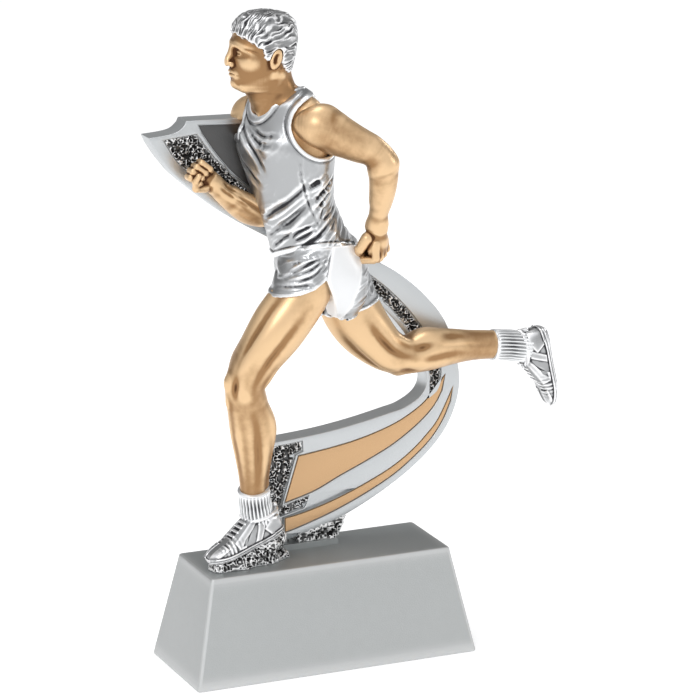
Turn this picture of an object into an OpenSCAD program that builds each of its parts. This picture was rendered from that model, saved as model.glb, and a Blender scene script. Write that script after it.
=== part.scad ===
// Figure award: a sprinter in full stride on a weighted cast base, in front of a
// hairpin ribbon. Millimetres, +Z up, the runner faces -X, the front of the base faces -Y.
// The origin is the centre of the base's underside.

/* [Base] */
// Length of the base along its foot
base_l = 100; // [92:1:112]
// Width of the base along its foot
base_w = 42; // [38:1:50]
// Height of the base
base_h = 36; // [32:1:40]
// Length of the base along its top
top_l = 85; // [82:1:90]
// Width of the base along its top
top_w = 30; // [28:1:34]
// Depth of the felt recess under the base
felt_t = 1; // [0.6:0.1:1.5]
// Height of the weight in the hollow of the base
weight_h = 15; // [8:1:16]

/* [Ribbon] */
// Distance from the base's centre line to the ribbon's front face
ribbon_y = 3.5; // [3:0.5:4]
// Thickness of the ribbon
ribbon_t = 8; // [7:0.5:9]
// Depth of the sunk fields in the ribbon's face
field_depth = 1; // [0.6:0.1:1.4]
// Gap of the engraved line round a raised field
line_gap = 0.35; // [0.25:0.05:0.5]

/* [Fixings] */
// Diameter of the steel dowels that locate the castings
dowel_d = 2.5; // [2:0.25:3]
// Diameter of the steel rod that stiffens the standing leg
rod_d = 3; // [2.5:0.25:3.5]
// Diameter of the screws that hold the ribbon's foot to the base
screw_d = 3.5; // [3:0.25:4]
// Clearance between a dowel and its hole, on the radius
fit_gap = 0.05; // [0.02:0.01:0.1]

/* [Hidden] */

$fn = 48;
eps = 0.01;
ring_n = 20;              // corners of a limb's cross-section
silver = [0.72, 0.73, 0.74];
dark = [0.16, 0.16, 0.17];
gold = [0.80, 0.60, 0.38];
steel = [0.55, 0.56, 0.58];

// ---- heights that follow from the base
plate_t = 2;              // the ribbon's foot plate
plate_z = base_h + plate_t;
pocket_l = base_l - 24;
pocket_w = base_w - 18;
pocket_top = base_h - 13;
screw_x = [-8, 4];
screw_y = ribbon_y + ribbon_t / 2;

// ---- places on the runner that more than one piece meets at
head_c = [-20, -7, 208.5];
left_sock_top = [-23.5, -4.5, 61.5];
right_sock_top = [63, -3.5, 100.7];

// ---- vectors, smooth curves and lofts

function unit(v) = v / norm(v);
// Catmull-Rom curve through points p, with n steps between neighbours
function spline_point(a, b, c, d, t) =
    0.5 * (2 * b + (c - a) * t + (2 * a - 5 * b + 4 * c - d) * t * t
    + (3 * b - 3 * c + d - a) * t * t * t);
function curve(p, n) = [
    for (i = [0 : len(p) - 2], k = [0 : n - 1])
        spline_point(p[max(i - 1, 0)], p[i], p[i + 1], p[min(i + 2, len(p) - 1)], k / n),
    p[len(p) - 1]
];
function tangent(p, i) = unit(p[min(i + 1, len(p) - 1)] - p[max(i - 1, 0)]);

// Closed ring round c: half-width a along unit vector u, and bf or bb along v and -v
function ring(c, u, v, a, bf, bb) = [
    for (k = [0 : ring_n - 1])
        let (w = 360 * k / ring_n)
        c + u * a * cos(w) + v * (sin(w) > 0 ? bf : bb) * sin(w)
];

// Solid through rings of equal count, closed by flat ends
module loft(rings) {
    n = len(rings[0]);
    m = len(rings);
    polyhedron(
        points = [for (r = rings) each r],
        faces = concat(
            [[for (k = [0 : n - 1]) k]],
            [[for (k = [n - 1 : -1 : 0]) (m - 1) * n + k]],
            [for (i = [0 : m - 2], k = [0 : n - 1])
                let (a = i * n + k, b = i * n + (k + 1) % n)
                each [[a, a + n, b], [b, a + n, b + n]]]
        )
    );
}

// Limb through stations [x, y, z, half-width, half-depth], smoothed; side is the width's direction
module limb(stations, side = [0, 1, 0], steps = 3) {
    s = curve(stations, steps);
    axis = [for (q = s) [q[0], q[1], q[2]]];
    loft([for (i = [0 : len(s) - 1])
        let (t = tangent(axis, i), v = unit(cross(t, side)), u = cross(v, t))
        ring(axis[i], u, v, s[i][3], s[i][4], s[i][4])]);
}

// Upright trunk through stations [x, y, z, half-width, front, back, twist, lean]
module trunk(stations, steps = 3) {
    loft([for (q = curve(stations, steps))
        let (
            u = [-sin(q[6]), cos(q[6]), 0],
            v = [-cos(q[6]) * cos(q[7]), -sin(q[6]) * cos(q[7]), -sin(q[7])]
        )
        ring([q[0], q[1], q[2]], u, v, q[3], q[4], q[5])]);
}

// Cylinder from a to b
module rod(a, b, d) {
    v = b - a;
    translate(a)
        rotate([0, acos(v[2] / norm(v)), atan2(v[1], v[0])])
            cylinder(d = d, h = norm(v));
}

// Everything on the side of the plane through p that n points to
module beyond(p, n, size = 60) {
    translate(p)
        rotate([0, acos(unit(n)[2]), atan2(n[1], n[0])])
            translate([-size / 2, -size / 2, 0])
                cube(size);
}

// One skin over all the children
module fused() {
    resize([0, 0, 0]) children();
}

// Slab of an outline drawn in x and z, from y0 to y0 + t
module slab(outline, y0, t) {
    translate([0, y0 + t, 0])
        rotate([90, 0, 0])
            linear_extrude(t)
                polygon(outline);
}

// ---- dowels and the screws, each [start, end]
neck_pin = [[-17, -7, 178], [-17, -7, 196]];
waist_pin = [[-5, -6, 131], [-5, -6, 148]];
shoulder_pins = [[[-9, -12, 185], [-9, -21, 185]], [[-23.6, 7.5, 176], [-23.6, 7.5, 186.5]]];
hip_pins = [[[-7, -13, 136], [-15, -12.5, 123]], [[9, -2, 124], [15, -2, 112]]];
leg_pin = [[-21, -3.5, base_h], [-25.5, -7.5, 84]];
ankle_pin = [[56, -3.5, 101.2], [74, -3.5, 99.2]];
ribbon_pins = [
    [[44, 0, 101], [44, ribbon_y + 4, 101]],
    [[-8, -2, 162], [-8, ribbon_y + 6, 162]],
    [[-32, -1, 161], [-32, ribbon_y + 6, 161]]
];

module pin_holes(pins) {
    for (p = pins) rod(p[0], p[1], dowel_d + 2 * fit_gap);
}
module rod_hole() {
    rod(leg_pin[0], leg_pin[1], rod_d + 2 * fit_gap);
}
module screw_holes() {
    for (x = screw_x)
        translate([x, screw_y, pocket_top - eps])
            cylinder(d = screw_d + 2 * fit_gap, h = 22.2);
}

// ---- base

// Frustum with rounded upright edges
module base_shape() {
    foot_r = 1.6;
    top_r = 1.2;
    hull() {
        for (x = [-1, 1], y = [-1, 1]) {
            translate([x * (base_l / 2 - foot_r), y * (base_w / 2 - foot_r), 0])
                cylinder(r = foot_r, h = 0.8, $fn = 32);
            translate([x * (top_l / 2 - top_r), y * (top_w / 2 - top_r), base_h - 0.4])
                cylinder(r = top_r, h = 0.4, $fn = 32);
        }
    }
}

module base_block() {
    color(silver)
        difference() {
            base_shape();
            translate([-base_l / 2 + 3, -base_w / 2 + 3, -eps])
                cube([base_l - 6, base_w - 6, felt_t + eps]);
            translate([-pocket_l / 2, -pocket_w / 2, 0])
                cube([pocket_l, pocket_w, pocket_top]);
            screw_holes();
        }
}

module base_felt() {
    color(dark)
        translate([-base_l / 2 + 3.1, -base_w / 2 + 3.1, 0])
            cube([base_l - 6.2, base_w - 6.2, felt_t]);
}

module base_weight() {
    color(steel)
        translate([-pocket_l / 2 + 0.2, -pocket_w / 2 + 0.2, felt_t])
            cube([pocket_l - 0.4, pocket_w - 0.4, weight_h]);
}

module base_screws() {
    color(steel)
        for (x = screw_x)
            translate([x, screw_y, pocket_top - 1]) {
                translate([0, 0, -2.4]) cylinder(d = 7, h = 2.4);
                cylinder(d = screw_d, h = 22);
            }
}

module base_washers() {
    color(steel)
        for (x = screw_x)
            translate([x, screw_y, pocket_top - 1])
                difference() {
                    cylinder(d = 9, h = 1);
                    translate([0, 0, -eps]) cylinder(d = screw_d + 0.3, h = 1 + 2 * eps);
                }
}

// ---- ribbon

// Outer edge, from behind the heel, round the hairpin and up to the fin's top
outer_edge = concat(
    curve([[-17, 38], [-4, 40.6], [13.5, 46], [32.5, 56], [45.5, 66.5], [52.5, 77.5],
        [54.4, 90], [50, 106.8], [41.7, 118.2], [31, 127.5], [20, 134], [8, 144.5]], 4),
    curve([[-2, 156.5], [-12, 170], [-21.5, 183.6]], 3)
);
// Step at the top left between the two tails
tail_step = concat([[-42.4, 184.2]], curve([[-43, 182.8], [-45.2, 181],
    [-48.5, 180.2]], 3), [[-55.2, 179.7]]);
// Inner edge, from the lower tail's tip, round the hairpin and back behind the calf
inner_edge = concat(
    curve([[-54, 177], [-50.3, 171.4], [-44.4, 164.8], [-29.4, 152.6], [-16.5, 144.6], [-2, 136.5],
        [11, 128.6], [24, 117.8], [32.2, 108.8], [38.6, 99], [42, 91.6], [42.2, 87], [39.8, 83.4],
        [34.5, 80.5]], 4),
    curve([[29, 79.2], [18, 77], [7.3, 75.4], [-2, 74.5], [-16.5, 73.6]], 3)
);
ribbon_outline = concat(outer_edge, tail_step, inner_edge);

// Big panel between the rims of the lower run
gold_panel_outline = concat(
    curve([[-4.2, 68.3], [7.3, 69.7], [18.1, 71.6], [29.1, 74.8], [36.4, 78.2], [42.6, 82.6],
    [49.4, 90.6]], 4),
    curve([[48.2, 84.6], [45.7, 80.2], [41.9, 76.2], [36.4, 71.9], [29.1, 67.4], [20, 63.2],
        [10.9, 59.4], [1.5, 55.2], [-9.3, 52.3]], 3)
);
// Thin stripe below it
gold_stripe_outline = concat(
    curve([[-9.2, 47.3], [-2.5, 48.4], [7.2, 51], [18.2, 55], [29.1, 60], [36.6, 64.9],
        [42.3, 70], [47, 75.6], [52.3, 86.2]], 4),
    curve([[51.4, 80.6], [48.3, 73.9], [43.6, 67.7], [36.5, 61.6], [29.1, 56.6], [18.2, 51.2],
        [7.2, 46.8], [-3.6, 43.4], [-9.2, 42]], 3)
);
// Hammered field round the big panel's left end and under it
stipple_panel_outline = [
    [-14.8, 72.2], [-2.6, 73.2], [-2.4, 69.4], [-5, 68.6], [-10.2, 51.4], [0.6, 54.4],
    [-2, 49.9], [-10.6, 47.9], [-14.8, 52]
];
// Hammered band along the inner rim, from the fin down to the hairpin
stipple_band_outline = concat(
    [[-50.4, 178.6], [-38.8, 179.6]],
    curve([[-36, 175.6], [-32.6, 171.2], [-28.2, 166.8], [-20, 158.6], [-8, 148.4], [6, 138.8],
        [17.7, 130.3], [28.9, 121.2], [38.4, 110.6], [45, 100], [47.8, 92.6], [46.6, 86],
        [43.6, 83.2]], 3),
    curve([[43.6, 87.6], [43.2, 92.2], [40, 99.8], [33.4, 109.9], [25, 119.2], [12, 130],
        [-1.4, 138.4], [-15.6, 146.8], [-28.2, 155.2], [-42.4, 167.6], [-47.6, 174]], 3)
);
// Smooth sunk field behind the runner's chest
smoked_panel_outline = concat(
    [[-23, 181.8], [-38.4, 182.6]],
    curve([[-36.8, 179.2], [-33.6, 174.4], [-29.8, 169.4], [-25, 164.2], [-14, 155]], 3),
    [[-8, 161.6]]
);

module ribbon_body() {
    slab(ribbon_outline, ribbon_y, ribbon_t);
}

module ribbon_frame() {
    color(silver)
        difference() {
            ribbon_body();
            for (o = [gold_panel_outline, gold_stripe_outline, stipple_panel_outline,
                stipple_band_outline, smoked_panel_outline])
                slab(o, ribbon_y - 1, field_depth + 1);
            screw_holes();
            pin_holes(concat(ribbon_pins, [shoulder_pins[1]]));
        }
}

// Inlaid field: its outline drawn in by the engraved line, down to the floor of its recess
module inlay(outline, sunk) {
    translate([0, ribbon_y + field_depth, 0])
        rotate([90, 0, 0])
            linear_extrude(field_depth - sunk)
                offset(delta = -line_gap)
                    polygon(outline);
}

module gold_panel() {
    color(gold) inlay(gold_panel_outline, 0.1);
}

module gold_stripe() {
    color(gold) inlay(gold_stripe_outline, 0.1);
}

module stipple_panel() {
    color(dark) slab(stipple_panel_outline, ribbon_y + 0.5, field_depth - 0.5);
}

module stipple_band() {
    color(dark)
        difference() {
            slab(stipple_band_outline, ribbon_y + 0.5, field_depth - 0.5);
            pin_holes(ribbon_pins);
        }
}

module smoked_panel() {
    color([0.35, 0.36, 0.37])
        difference() {
            slab(smoked_panel_outline, ribbon_y + 0.6, field_depth - 0.6);
            pin_holes(ribbon_pins);
        }
}

module foot_plate() {
    color(silver)
        difference() {
            translate([-17, ribbon_y - 0.5, base_h]) cube([27, ribbon_t + 1, plate_t]);
            screw_holes();
        }
}

// Ground under the shoe, from the toe back to the ribbon
module rock_mound() {
    color(dark)
        difference() {
            hull()
                for (p = [[-36, -6, 0.8], [-29, -5.5, 3], [-19, -4, 8], [-14.5, -2, 9.4]])
                    translate([p[0], p[1], base_h])
                        cylinder(r1 = 3.6, r2 = 2.6, h = p[2], $fn = 20);
            shoe_space();
            rod_hole();
        }
}

// Ground between the ribbon's foot plate and its lower edge
module ribbon_rock() {
    color(dark)
        difference() {
            slab(concat([[-4, plate_z], [9.4, plate_z], [13, 45.6]],
                [for (i = [7 : -1 : 4]) outer_edge[i]]), ribbon_y + 0.4, ribbon_t - 0.8);
            screw_holes();
        }
}

// ---- runner: trunk

// [x, y, z, half-width, front, back, twist, lean]
torso_stations = [
    [-2.5, -6.5, 139.6, 15.4, 13.4, 14.4, -2, 4],
    [-5.5, -6.5, 147, 14.2, 11.8, 12.2, 4, 8],
    [-8.5, -6.5, 155.5, 13.6, 11.4, 11.2, 12, 12],
    [-10.2, -6.5, 164, 15, 12.2, 11.6, 20, 14],
    [-11.6, -6.5, 173, 17, 12.6, 12, 26, 16],
    [-12.8, -6.5, 181, 17.6, 11.6, 11.4, 28, 18],
    [-14.2, -6.8, 188, 14.6, 9, 9.4, 28, 20],
    [-15.6, -7, 192.4, 9.4, 6.6, 7, 26, 22]
];
pelvis_stations = [
    [-0.5, -6, 122.5, 12.6, 9.6, 9.6, -14, 0],
    [-0.5, -6, 128, 15, 13.6, 13.4, -12, 0],
    [-1, -6.2, 134, 15.6, 14, 14.6, -8, 2],
    [-3.6, -6.5, 144, 14.6, 12.4, 13.6, -2, 4]
];
neck_cut = [-17.5, -7, 189.6];
neck_n = [-0.42, 0, 1];
left_arm_cut = [-8, -17.2, 184];
left_arm_n = [0.35, -1, 0.12];
right_arm_cut = [-21, 4.4, 184];
right_arm_n = [-0.35, 1, 0.12];

module vest() {
    color(silver)
        difference() {
            trunk(torso_stations);
            beyond(neck_cut, neck_n);
            beyond(left_arm_cut, left_arm_n);
            beyond(right_arm_cut, right_arm_n);
            ribbon_body();
            pin_holes([neck_pin, waist_pin, shoulder_pins[0], ribbon_pins[1]]);
        }
}

left_short_stations = [
    [-1, -12, 146, 9, 9], [-6.6, -13.2, 135, 10.4, 10.8],
    [-12, -13.5, 127, 10.2, 10.6], [-16, -13.3, 121, 10, 10.4]
];
left_seat_stations = [
    [1, -12, 146, 7, 7], [3, -13.2, 134, 9, 9.4], [4.2, -13, 126, 8, 8.4], [4.4, -12.4, 119.4, 4.6, 4.6]
];
right_short_stations = [
    [0, -2, 147, 8, 8], [8, -0.6, 128, 10, 10.6],
    [12.6, -1, 117, 9.6, 10], [15, -1.2, 111.6, 9.4, 9.8]
];
waist_z = 139.6;
right_hem = [12, -1, 119.4];
right_hem_n = [0.22, 0, -0.98];
// Near leg's opening in x and z: the front hem rises to the slit at the side, then drops behind the thigh
left_opening = [[-48, 120.5], [-5.5, 134.2], [2.4, 120], [2.4, 40], [-48, 40]];
// Pale panel behind the slit
side_panel = [[-5.4, 128], [-5.4, 145], [8.4, 145], [13.2, 126], [6, 112], [0, 112]];

module shorts_shape() {
    difference() {
        union() {
            trunk(pelvis_stations);
            limb(left_short_stations);
            limb(left_seat_stations);
            limb(right_short_stations);
        }
        beyond([0, 0, waist_z], [0, 0, 1]);
        slab(left_opening, -40, 37);
        beyond(right_hem, right_hem_n);
        ribbon_body();
    }
}

module shorts() {
    color(silver)
        difference() {
            fused()
                difference() {
                    shorts_shape();
                    slab(side_panel, -40, 25);
                }
            pin_holes([waist_pin, hip_pins[0], hip_pins[1]]);
        }
}

module left_side_panel() {
    color([0.9, 0.91, 0.92])
        fused()
            intersection() {
                shorts_shape();
                slab(side_panel, -40, 25);
            }
}

// ---- runner: head

// Rings in the head's own frame: [height, half-width, front, back]
skull = [
    [-25, 6.4, 6.8, 6.4], [-15.5, 6.3, 7, 6.4], [-13, 6.8, 9.6, 6.8], [-9, 7.8, 10.4, 7.6],
    [-4, 8.3, 10.4, 9], [2, 8.8, 10.2, 10], [6.4, 8.4, 9, 9.4], [9.4, 5.8, 6, 6.6], [10.6, 1.5, 1.5, 1.5]
];
face_turn = 6;            // degrees the face is turned to the far side
neck_lean = 0.4;          // how far the neck comes forward for each millimetre of rise

module skull_loft(grow) {
    loft([for (q = curve(skull, 3))
        let (
            drop = min(0, q[0] + 12),
            u = [sin(face_turn), cos(face_turn), 0],
            v = [-cos(face_turn), sin(face_turn), 0]
        )
        ring(head_c + [-neck_lean * drop, 0, q[0] + (q[0] > 6 ? grow : 0)], u, v,
            q[1] + grow, q[2] + grow, q[3] + grow)]);
}
hairline = [-29.5, 0, 213];
hairline_n = [0.58, 0, 0.82];

module head() {
    color(gold)
        difference() {
            union() {
                skull_loft(0);
                for (s = [-1, 1])
                    translate(head_c + [1.5, s * 8.8, -4.5])
                        rotate([90, 0, 0])
                            cylinder(r = 2.6, h = 2, center = true);
            }
            beyond(hairline, hairline_n);
            beyond(neck_cut, -neck_n);
            pin_holes([neck_pin]);
        }
}

module hair() {
    color(silver)
        intersection() {
            skull_loft(1);
            beyond(hairline, hairline_n);
        }
}

// ---- runner: arms, each station [x, y, z, half-width, half-depth]
left_arm_stations = [
    [-12, -13.5, 184.6, 5.8, 7], [-8.6, -18, 184.4, 6.6, 7.4], [-4, -21.5, 182.6, 6.2, 6.6],
    [3, -25.5, 179, 5.4, 5.6], [9.5, -28.6, 175.6, 4.8, 4.8], [12.6, -29, 171, 4.6, 4.5],
    [12.9, -27, 163.5, 4.3, 4.1], [12.6, -23.6, 155, 3.3, 3.2], [12.5, -21.8, 150.4, 2.9, 3],
    [13.2, -20.4, 146, 4.4, 5.2], [13.6, -19.4, 141.4, 4.4, 5.4], [13.8, -18.8, 137.8, 2.4, 2.8]
];
right_shoulder_stations = [
    [-15, -2, 186, 4.6, 4.6], [-18, 2.4, 185.6, 5.6, 5.4], [-19.8, 6.4, 184, 5.8, 5.6],
    [-20, 7.4, 178, 5, 5]
];
right_arm_stations = [
    [-13, 3.4, 158, 4.6, 4.6], [-15, 2.6, 152.4, 4.6, 4.6],
    [-22, 1.6, 153.6, 4.6, 4.5], [-29, 0, 158.6, 4, 3.8], [-35, -1.6, 163.8, 3, 3],
    [-38.4, -2.2, 167, 4.2, 4.6], [-42.4, -3, 170.6, 4.6, 5], [-45.4, -3.4, 173.2, 2.6, 2.8]
];

module left_arm() {
    color(gold)
        difference() {
            fused()
                difference() {
                    limb(left_arm_stations, [0.6, 0.75, 0.25]);
                    beyond(left_arm_cut, -left_arm_n);
                    trunk(torso_stations);
                }
            pin_holes([shoulder_pins[0]]);
        }
}

module right_arm() {
    color(gold)
        difference() {
            fused()
                difference() {
                    limb(right_arm_stations);
                    beyond([-19.4, 0, 155], [0.93, -0.3, 0.2]);
                    beyond([0, ribbon_y, 160], [0, 1, 0], 200);
                }
            pin_holes([ribbon_pins[2]]);
        }
}

module right_shoulder() {
    color(gold)
        difference() {
            fused()
                difference() {
                    limb(right_shoulder_stations, [1, 0, 0]);
                    intersection() {
                        trunk(torso_stations);
                        beyond(right_arm_cut, -right_arm_n);
                    }
                    ribbon_body();
                    beyond([0, 0, 183], [0, 0, -1]);
                }
            pin_holes([shoulder_pins[1]]);
        }
}

// ---- runner: legs
left_leg_stations = [
    [-4, -13, 139, 9, 9.6], [-11.5, -13.4, 127.6, 9.2, 9.8], [-18.5, -12.8, 117.6, 8.8, 9.2],
    [-25, -11.6, 107.4, 7.2, 7.4], [-28.4, -10.6, 99.6, 6.4, 6.6], [-27.6, -9.6, 92.6, 6.4, 6.6],
    [-25.4, -8.2, 84, 6.8, 7.2], [-24.2, -6.6, 74, 5.8, 6], [-23.6, -5.2, 65, 4.6, 4.8],
    [-23.3, -4.4, 60.5, 4.5, 4.7]
];
right_leg_stations = [
    [9, -0.8, 126, 9, 9.6], [13.4, -1, 116.8, 9, 9.6], [18.4, -1.8, 109.4, 8.2, 8.6],
    [24.6, -3.2, 103.4, 6.6, 7.2], [31.5, -3.6, 101, 6.6, 6.4], [39.5, -3.6, 101.6, 6.8, 6.8],
    [47.5, -3.6, 101.8, 5.8, 6], [55.5, -3.6, 101.3, 4.8, 4.9], [65, -3.5, 100.6, 4.4, 4.6]
];

module left_leg() {
    color(gold)
        difference() {
            fused()
                intersection() {
                    limb(left_leg_stations);
                    slab(left_opening, -40, 45);
                }
            beyond(left_sock_top, [0.05, 0.1, -1]);
            pin_holes([hip_pins[0]]);
            rod_hole();
        }
}

module right_leg() {
    color(gold)
        difference() {
            fused()
                difference() {
                    limb(right_leg_stations);
                    beyond(right_hem, -right_hem_n);
                    beyond(right_sock_top, [1, 0, -0.12]);
                    ribbon_body();
                }
            pin_holes([hip_pins[1], ankle_pin, ribbon_pins[0]]);
        }
}

// ---- runner: socks and shoes

module left_sock() {
    color(silver)
        difference() {
            limb([[-23.9, -5.4, 65, 4.9, 5.1], [-23.3, -4.6, 60, 4.9, 5.1],
                [-22.6, -4, 55, 4.9, 5.2], [-21.6, -3.5, 49.5, 5, 5.4]]);
            beyond(left_sock_top, [-0.05, -0.1, 1]);
            left_place() beyond([0, 0, collar_h], [0, 0, -1]);
            rod_hole();
        }
}

module right_sock() {
    color(silver)
        difference() {
            limb([[60, -3.5, 101, 4.7, 4.9], [66, -3.5, 100.4, 4.7, 4.9],
                [71, -3.5, 99.6, 4.8, 5], [76, -3.5, 98.6, 4.9, 5.2]]);
            beyond(right_sock_top, [-1, 0, 0.12]);
            right_place() beyond([0, 0, collar_h], [0, 0, -1]);
            pin_holes([ankle_pin]);
        }
}

shoe_l = 27.5;            // heel to toe
collar_h = 9.4;           // height of the shoe's opening over its sole
// Cross-sections from the heel forward: [x, half-width, bottom, top]
shoe_sections = [
    [0, 1.6, 3, 7], [1, 3.6, 0.6, 9.4], [4, 4.4, 0, 11], [9, 4.5, 0, 11.2], [13, 4.6, 0, 10],
    [17, 4.9, 0, 7.8], [21, 5, 0.1, 6], [24.6, 4.3, 0.6, 5], [26.8, 2.7, 1.2, 4.2], [shoe_l, 1, 2, 3.4]
];

// Shoe standing on its sole, heel at the origin, toe towards +X
module shoe_shape() {
    loft([for (q = curve(shoe_sections, 2))
        [for (k = [0 : ring_n - 1])
            let (w = 360 * k / ring_n, c = cos(w), s = sin(w))
            [q[0], q[1] * sign(c) * pow(abs(c), 0.7),
                (q[2] + q[3]) / 2 + (q[3] - q[2]) / 2 * sign(s) * pow(abs(s), 0.8)]]]);
}

module left_place() {
    translate([-13.4, -3.2, 44.6]) rotate([0, 15, 187]) children();
}

module right_place() {
    translate([82.8, -3.5, 105.4]) rotate([180, 80, 0]) children();
}

module shoe_space() {
    left_place() shoe_shape();
}

module left_shoe() {
    color(silver)
        difference() {
            left_place()
                difference() {
                    shoe_shape();
                    translate([-1, -8, collar_h]) cube([13.5, 16, 4]);
                }
            rod_hole();
        }
}

module right_shoe() {
    color(silver)
        difference() {
            right_place()
                difference() {
                    shoe_shape();
                    translate([-1, -8, collar_h]) cube([13.5, 16, 4]);
                }
            pin_holes([ankle_pin]);
        }
}

// ---- steel inside the castings

module dowels(pins) {
    color(steel)
        for (p = pins) rod(p[0], p[1], dowel_d);
}

module leg_rod() {
    color(steel) rod(leg_pin[0], leg_pin[1], rod_d);
}

base_block();
base_felt();
base_weight();
base_screws();
base_washers();
foot_plate();
rock_mound();
ribbon_rock();
ribbon_frame();
gold_panel();
gold_stripe();
stipple_band();
stipple_panel();
smoked_panel();
head();
hair();
vest();
shorts();
left_side_panel();
left_arm();
right_arm();
right_shoulder();
left_leg();
right_leg();
left_sock();
right_sock();
left_shoe();
right_shoe();
dowels([neck_pin]);  // neck_dowel
dowels([waist_pin]);  // waist_dowel
dowels(shoulder_pins);  // shoulder_dowels
dowels(hip_pins);  // hip_dowels
leg_rod();
dowels([ankle_pin]);  // ankle_dowel
dowels(ribbon_pins);  // ribbon_dowels
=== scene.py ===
import bmesh
import bpy
import numpy as np
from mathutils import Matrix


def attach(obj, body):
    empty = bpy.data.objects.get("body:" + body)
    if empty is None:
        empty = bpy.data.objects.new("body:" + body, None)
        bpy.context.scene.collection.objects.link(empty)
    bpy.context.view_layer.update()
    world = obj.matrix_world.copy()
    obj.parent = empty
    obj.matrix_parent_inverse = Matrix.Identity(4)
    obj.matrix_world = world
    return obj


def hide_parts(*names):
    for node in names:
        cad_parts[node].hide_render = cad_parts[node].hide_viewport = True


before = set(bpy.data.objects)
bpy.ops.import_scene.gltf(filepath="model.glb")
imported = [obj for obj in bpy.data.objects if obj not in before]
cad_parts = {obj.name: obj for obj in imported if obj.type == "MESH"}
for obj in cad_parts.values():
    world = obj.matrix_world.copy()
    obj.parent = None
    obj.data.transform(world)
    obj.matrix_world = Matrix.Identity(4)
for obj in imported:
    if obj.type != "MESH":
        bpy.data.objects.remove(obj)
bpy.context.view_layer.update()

import openvdb
from mathutils import Vector
from mathutils.geometry import tessellate_polygon

# ---- The room
# A pale sweep of paper under a large soft tent. The tent is bright in front and above
# and darker behind, which is what gives a satin metal finish its modelling.
scene = bpy.context.scene
scene.view_settings.view_transform = "Standard"
sight = Vector((-0.38676, -0.88354, 0.26404))
lens = bpy.data.cameras.new("camera")
lens.sensor_width, lens.lens = 36, 188.7
lens.clip_start, lens.clip_end = 0.05, 50
camera = bpy.data.objects.new("camera", lens)
camera.location = (-0.45383, -1.06626, 0.42216)
camera.rotation_mode = "QUATERNION"
camera.rotation_quaternion = (-sight).to_track_quat("-Z", "Y")
scene.collection.objects.link(camera)
scene.camera = camera


def lamp(name, place, aim, width, power):
    """A square soft box at place, facing aim."""
    data = bpy.data.lights.new(name, "AREA")
    data.size, data.energy = width, power
    box = bpy.data.objects.new(name, data)
    box.location = place
    box.rotation_mode = "QUATERNION"
    box.rotation_quaternion = (Vector(aim) - Vector(place)).to_track_quat("-Z", "Y")
    scene.collection.objects.link(box)


def put(net, kind, inputs=(), **settings):
    """A new node. Its inputs come by name or number, each as a plain value or as another node's output."""
    node = net.nodes.new(kind)
    for key, value in settings.items():
        setattr(node, key, value)
    for key, value in dict(inputs).items():
        if isinstance(value, bpy.types.NodeSocket):
            net.links.new(value, node.inputs[key])
        else:
            node.inputs[key].default_value = value
    return node


lamp("key", (-0.75, -0.75, 0.75), (0, 0, 0.12), 0.35, 2.4)
lamp("side", (0.85, -0.5, 0.35), (0, 0, 0.1), 0.25, 0.9)
lamp("top", (-0.1, 0.1, 1.0), (0, 0, 0.12), 0.4, 1.4)
lamp("rim", (0.95, 0.45, 0.55), (0, 0, 0.14), 0.25, 1.0)

tent = bpy.data.worlds.new("tent")
scene.world = tent
tent.use_nodes = True
net = tent.node_tree
net.nodes.clear()
brightest_way = (-0.35, -0.62, 0.7)
where = put(net, "ShaderNodeTexCoord")
facing = put(net, "ShaderNodeVectorMath", {0: where.outputs["Generated"], 1: brightest_way},
    operation="DOT_PRODUCT")
spread = put(net, "ShaderNodeMapRange", {"Value": facing.outputs["Value"], "From Min": -1, "From Max": 1})
ramp = put(net, "ShaderNodeValToRGB", {"Fac": spread.outputs["Result"]})
stops = ramp.color_ramp.elements
stops[0].position, stops[0].color = 0.0, (0.50, 0.50, 0.50, 1)
stops[1].position, stops[1].color = 1.0, (0.95, 0.96, 0.98, 1)
for place, level in ((0.36, 0.24), (0.56, 0.30), (0.74, 0.82)):
    stops.new(place).color = (level, level, level, 1)
tent_light = put(net, "ShaderNodeBackground", {"Color": ramp.outputs["Color"]})
plain = put(net, "ShaderNodeBackground", {"Color": (1, 1, 1, 1)})
path = put(net, "ShaderNodeLightPath")
choose = put(net, "ShaderNodeMixShader", {0: path.outputs["Is Camera Ray"], 1: tent_light.outputs[0],
    2: plain.outputs[0]})
put(net, "ShaderNodeOutputWorld", {"Surface": choose.outputs[0]})

paper = bpy.data.materials.new("white_paper")
paper.use_nodes = True
paper_shader = paper.node_tree.nodes["Principled BSDF"].inputs
for key, value in (("Base Color", (0.95, 0.95, 0.95, 1)), ("Roughness", 0.9), ("Emission Color", (1, 1, 1, 1)),
    ("Emission Strength", 0.35)):
    paper_shader[key].default_value = value
sweep_mesh = bpy.data.meshes.new("paper_sweep")
reach = 9
sweep_mesh.from_pydata([(-reach, -reach, 0), (reach, -reach, 0), (reach, reach, 0), (-reach, reach, 0)], [],
    [(0, 1, 2, 3)])
sweep_mesh.materials.append(paper)
sweep = bpy.data.objects.new("paper_sweep", sweep_mesh)
scene.collection.objects.link(sweep)


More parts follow.
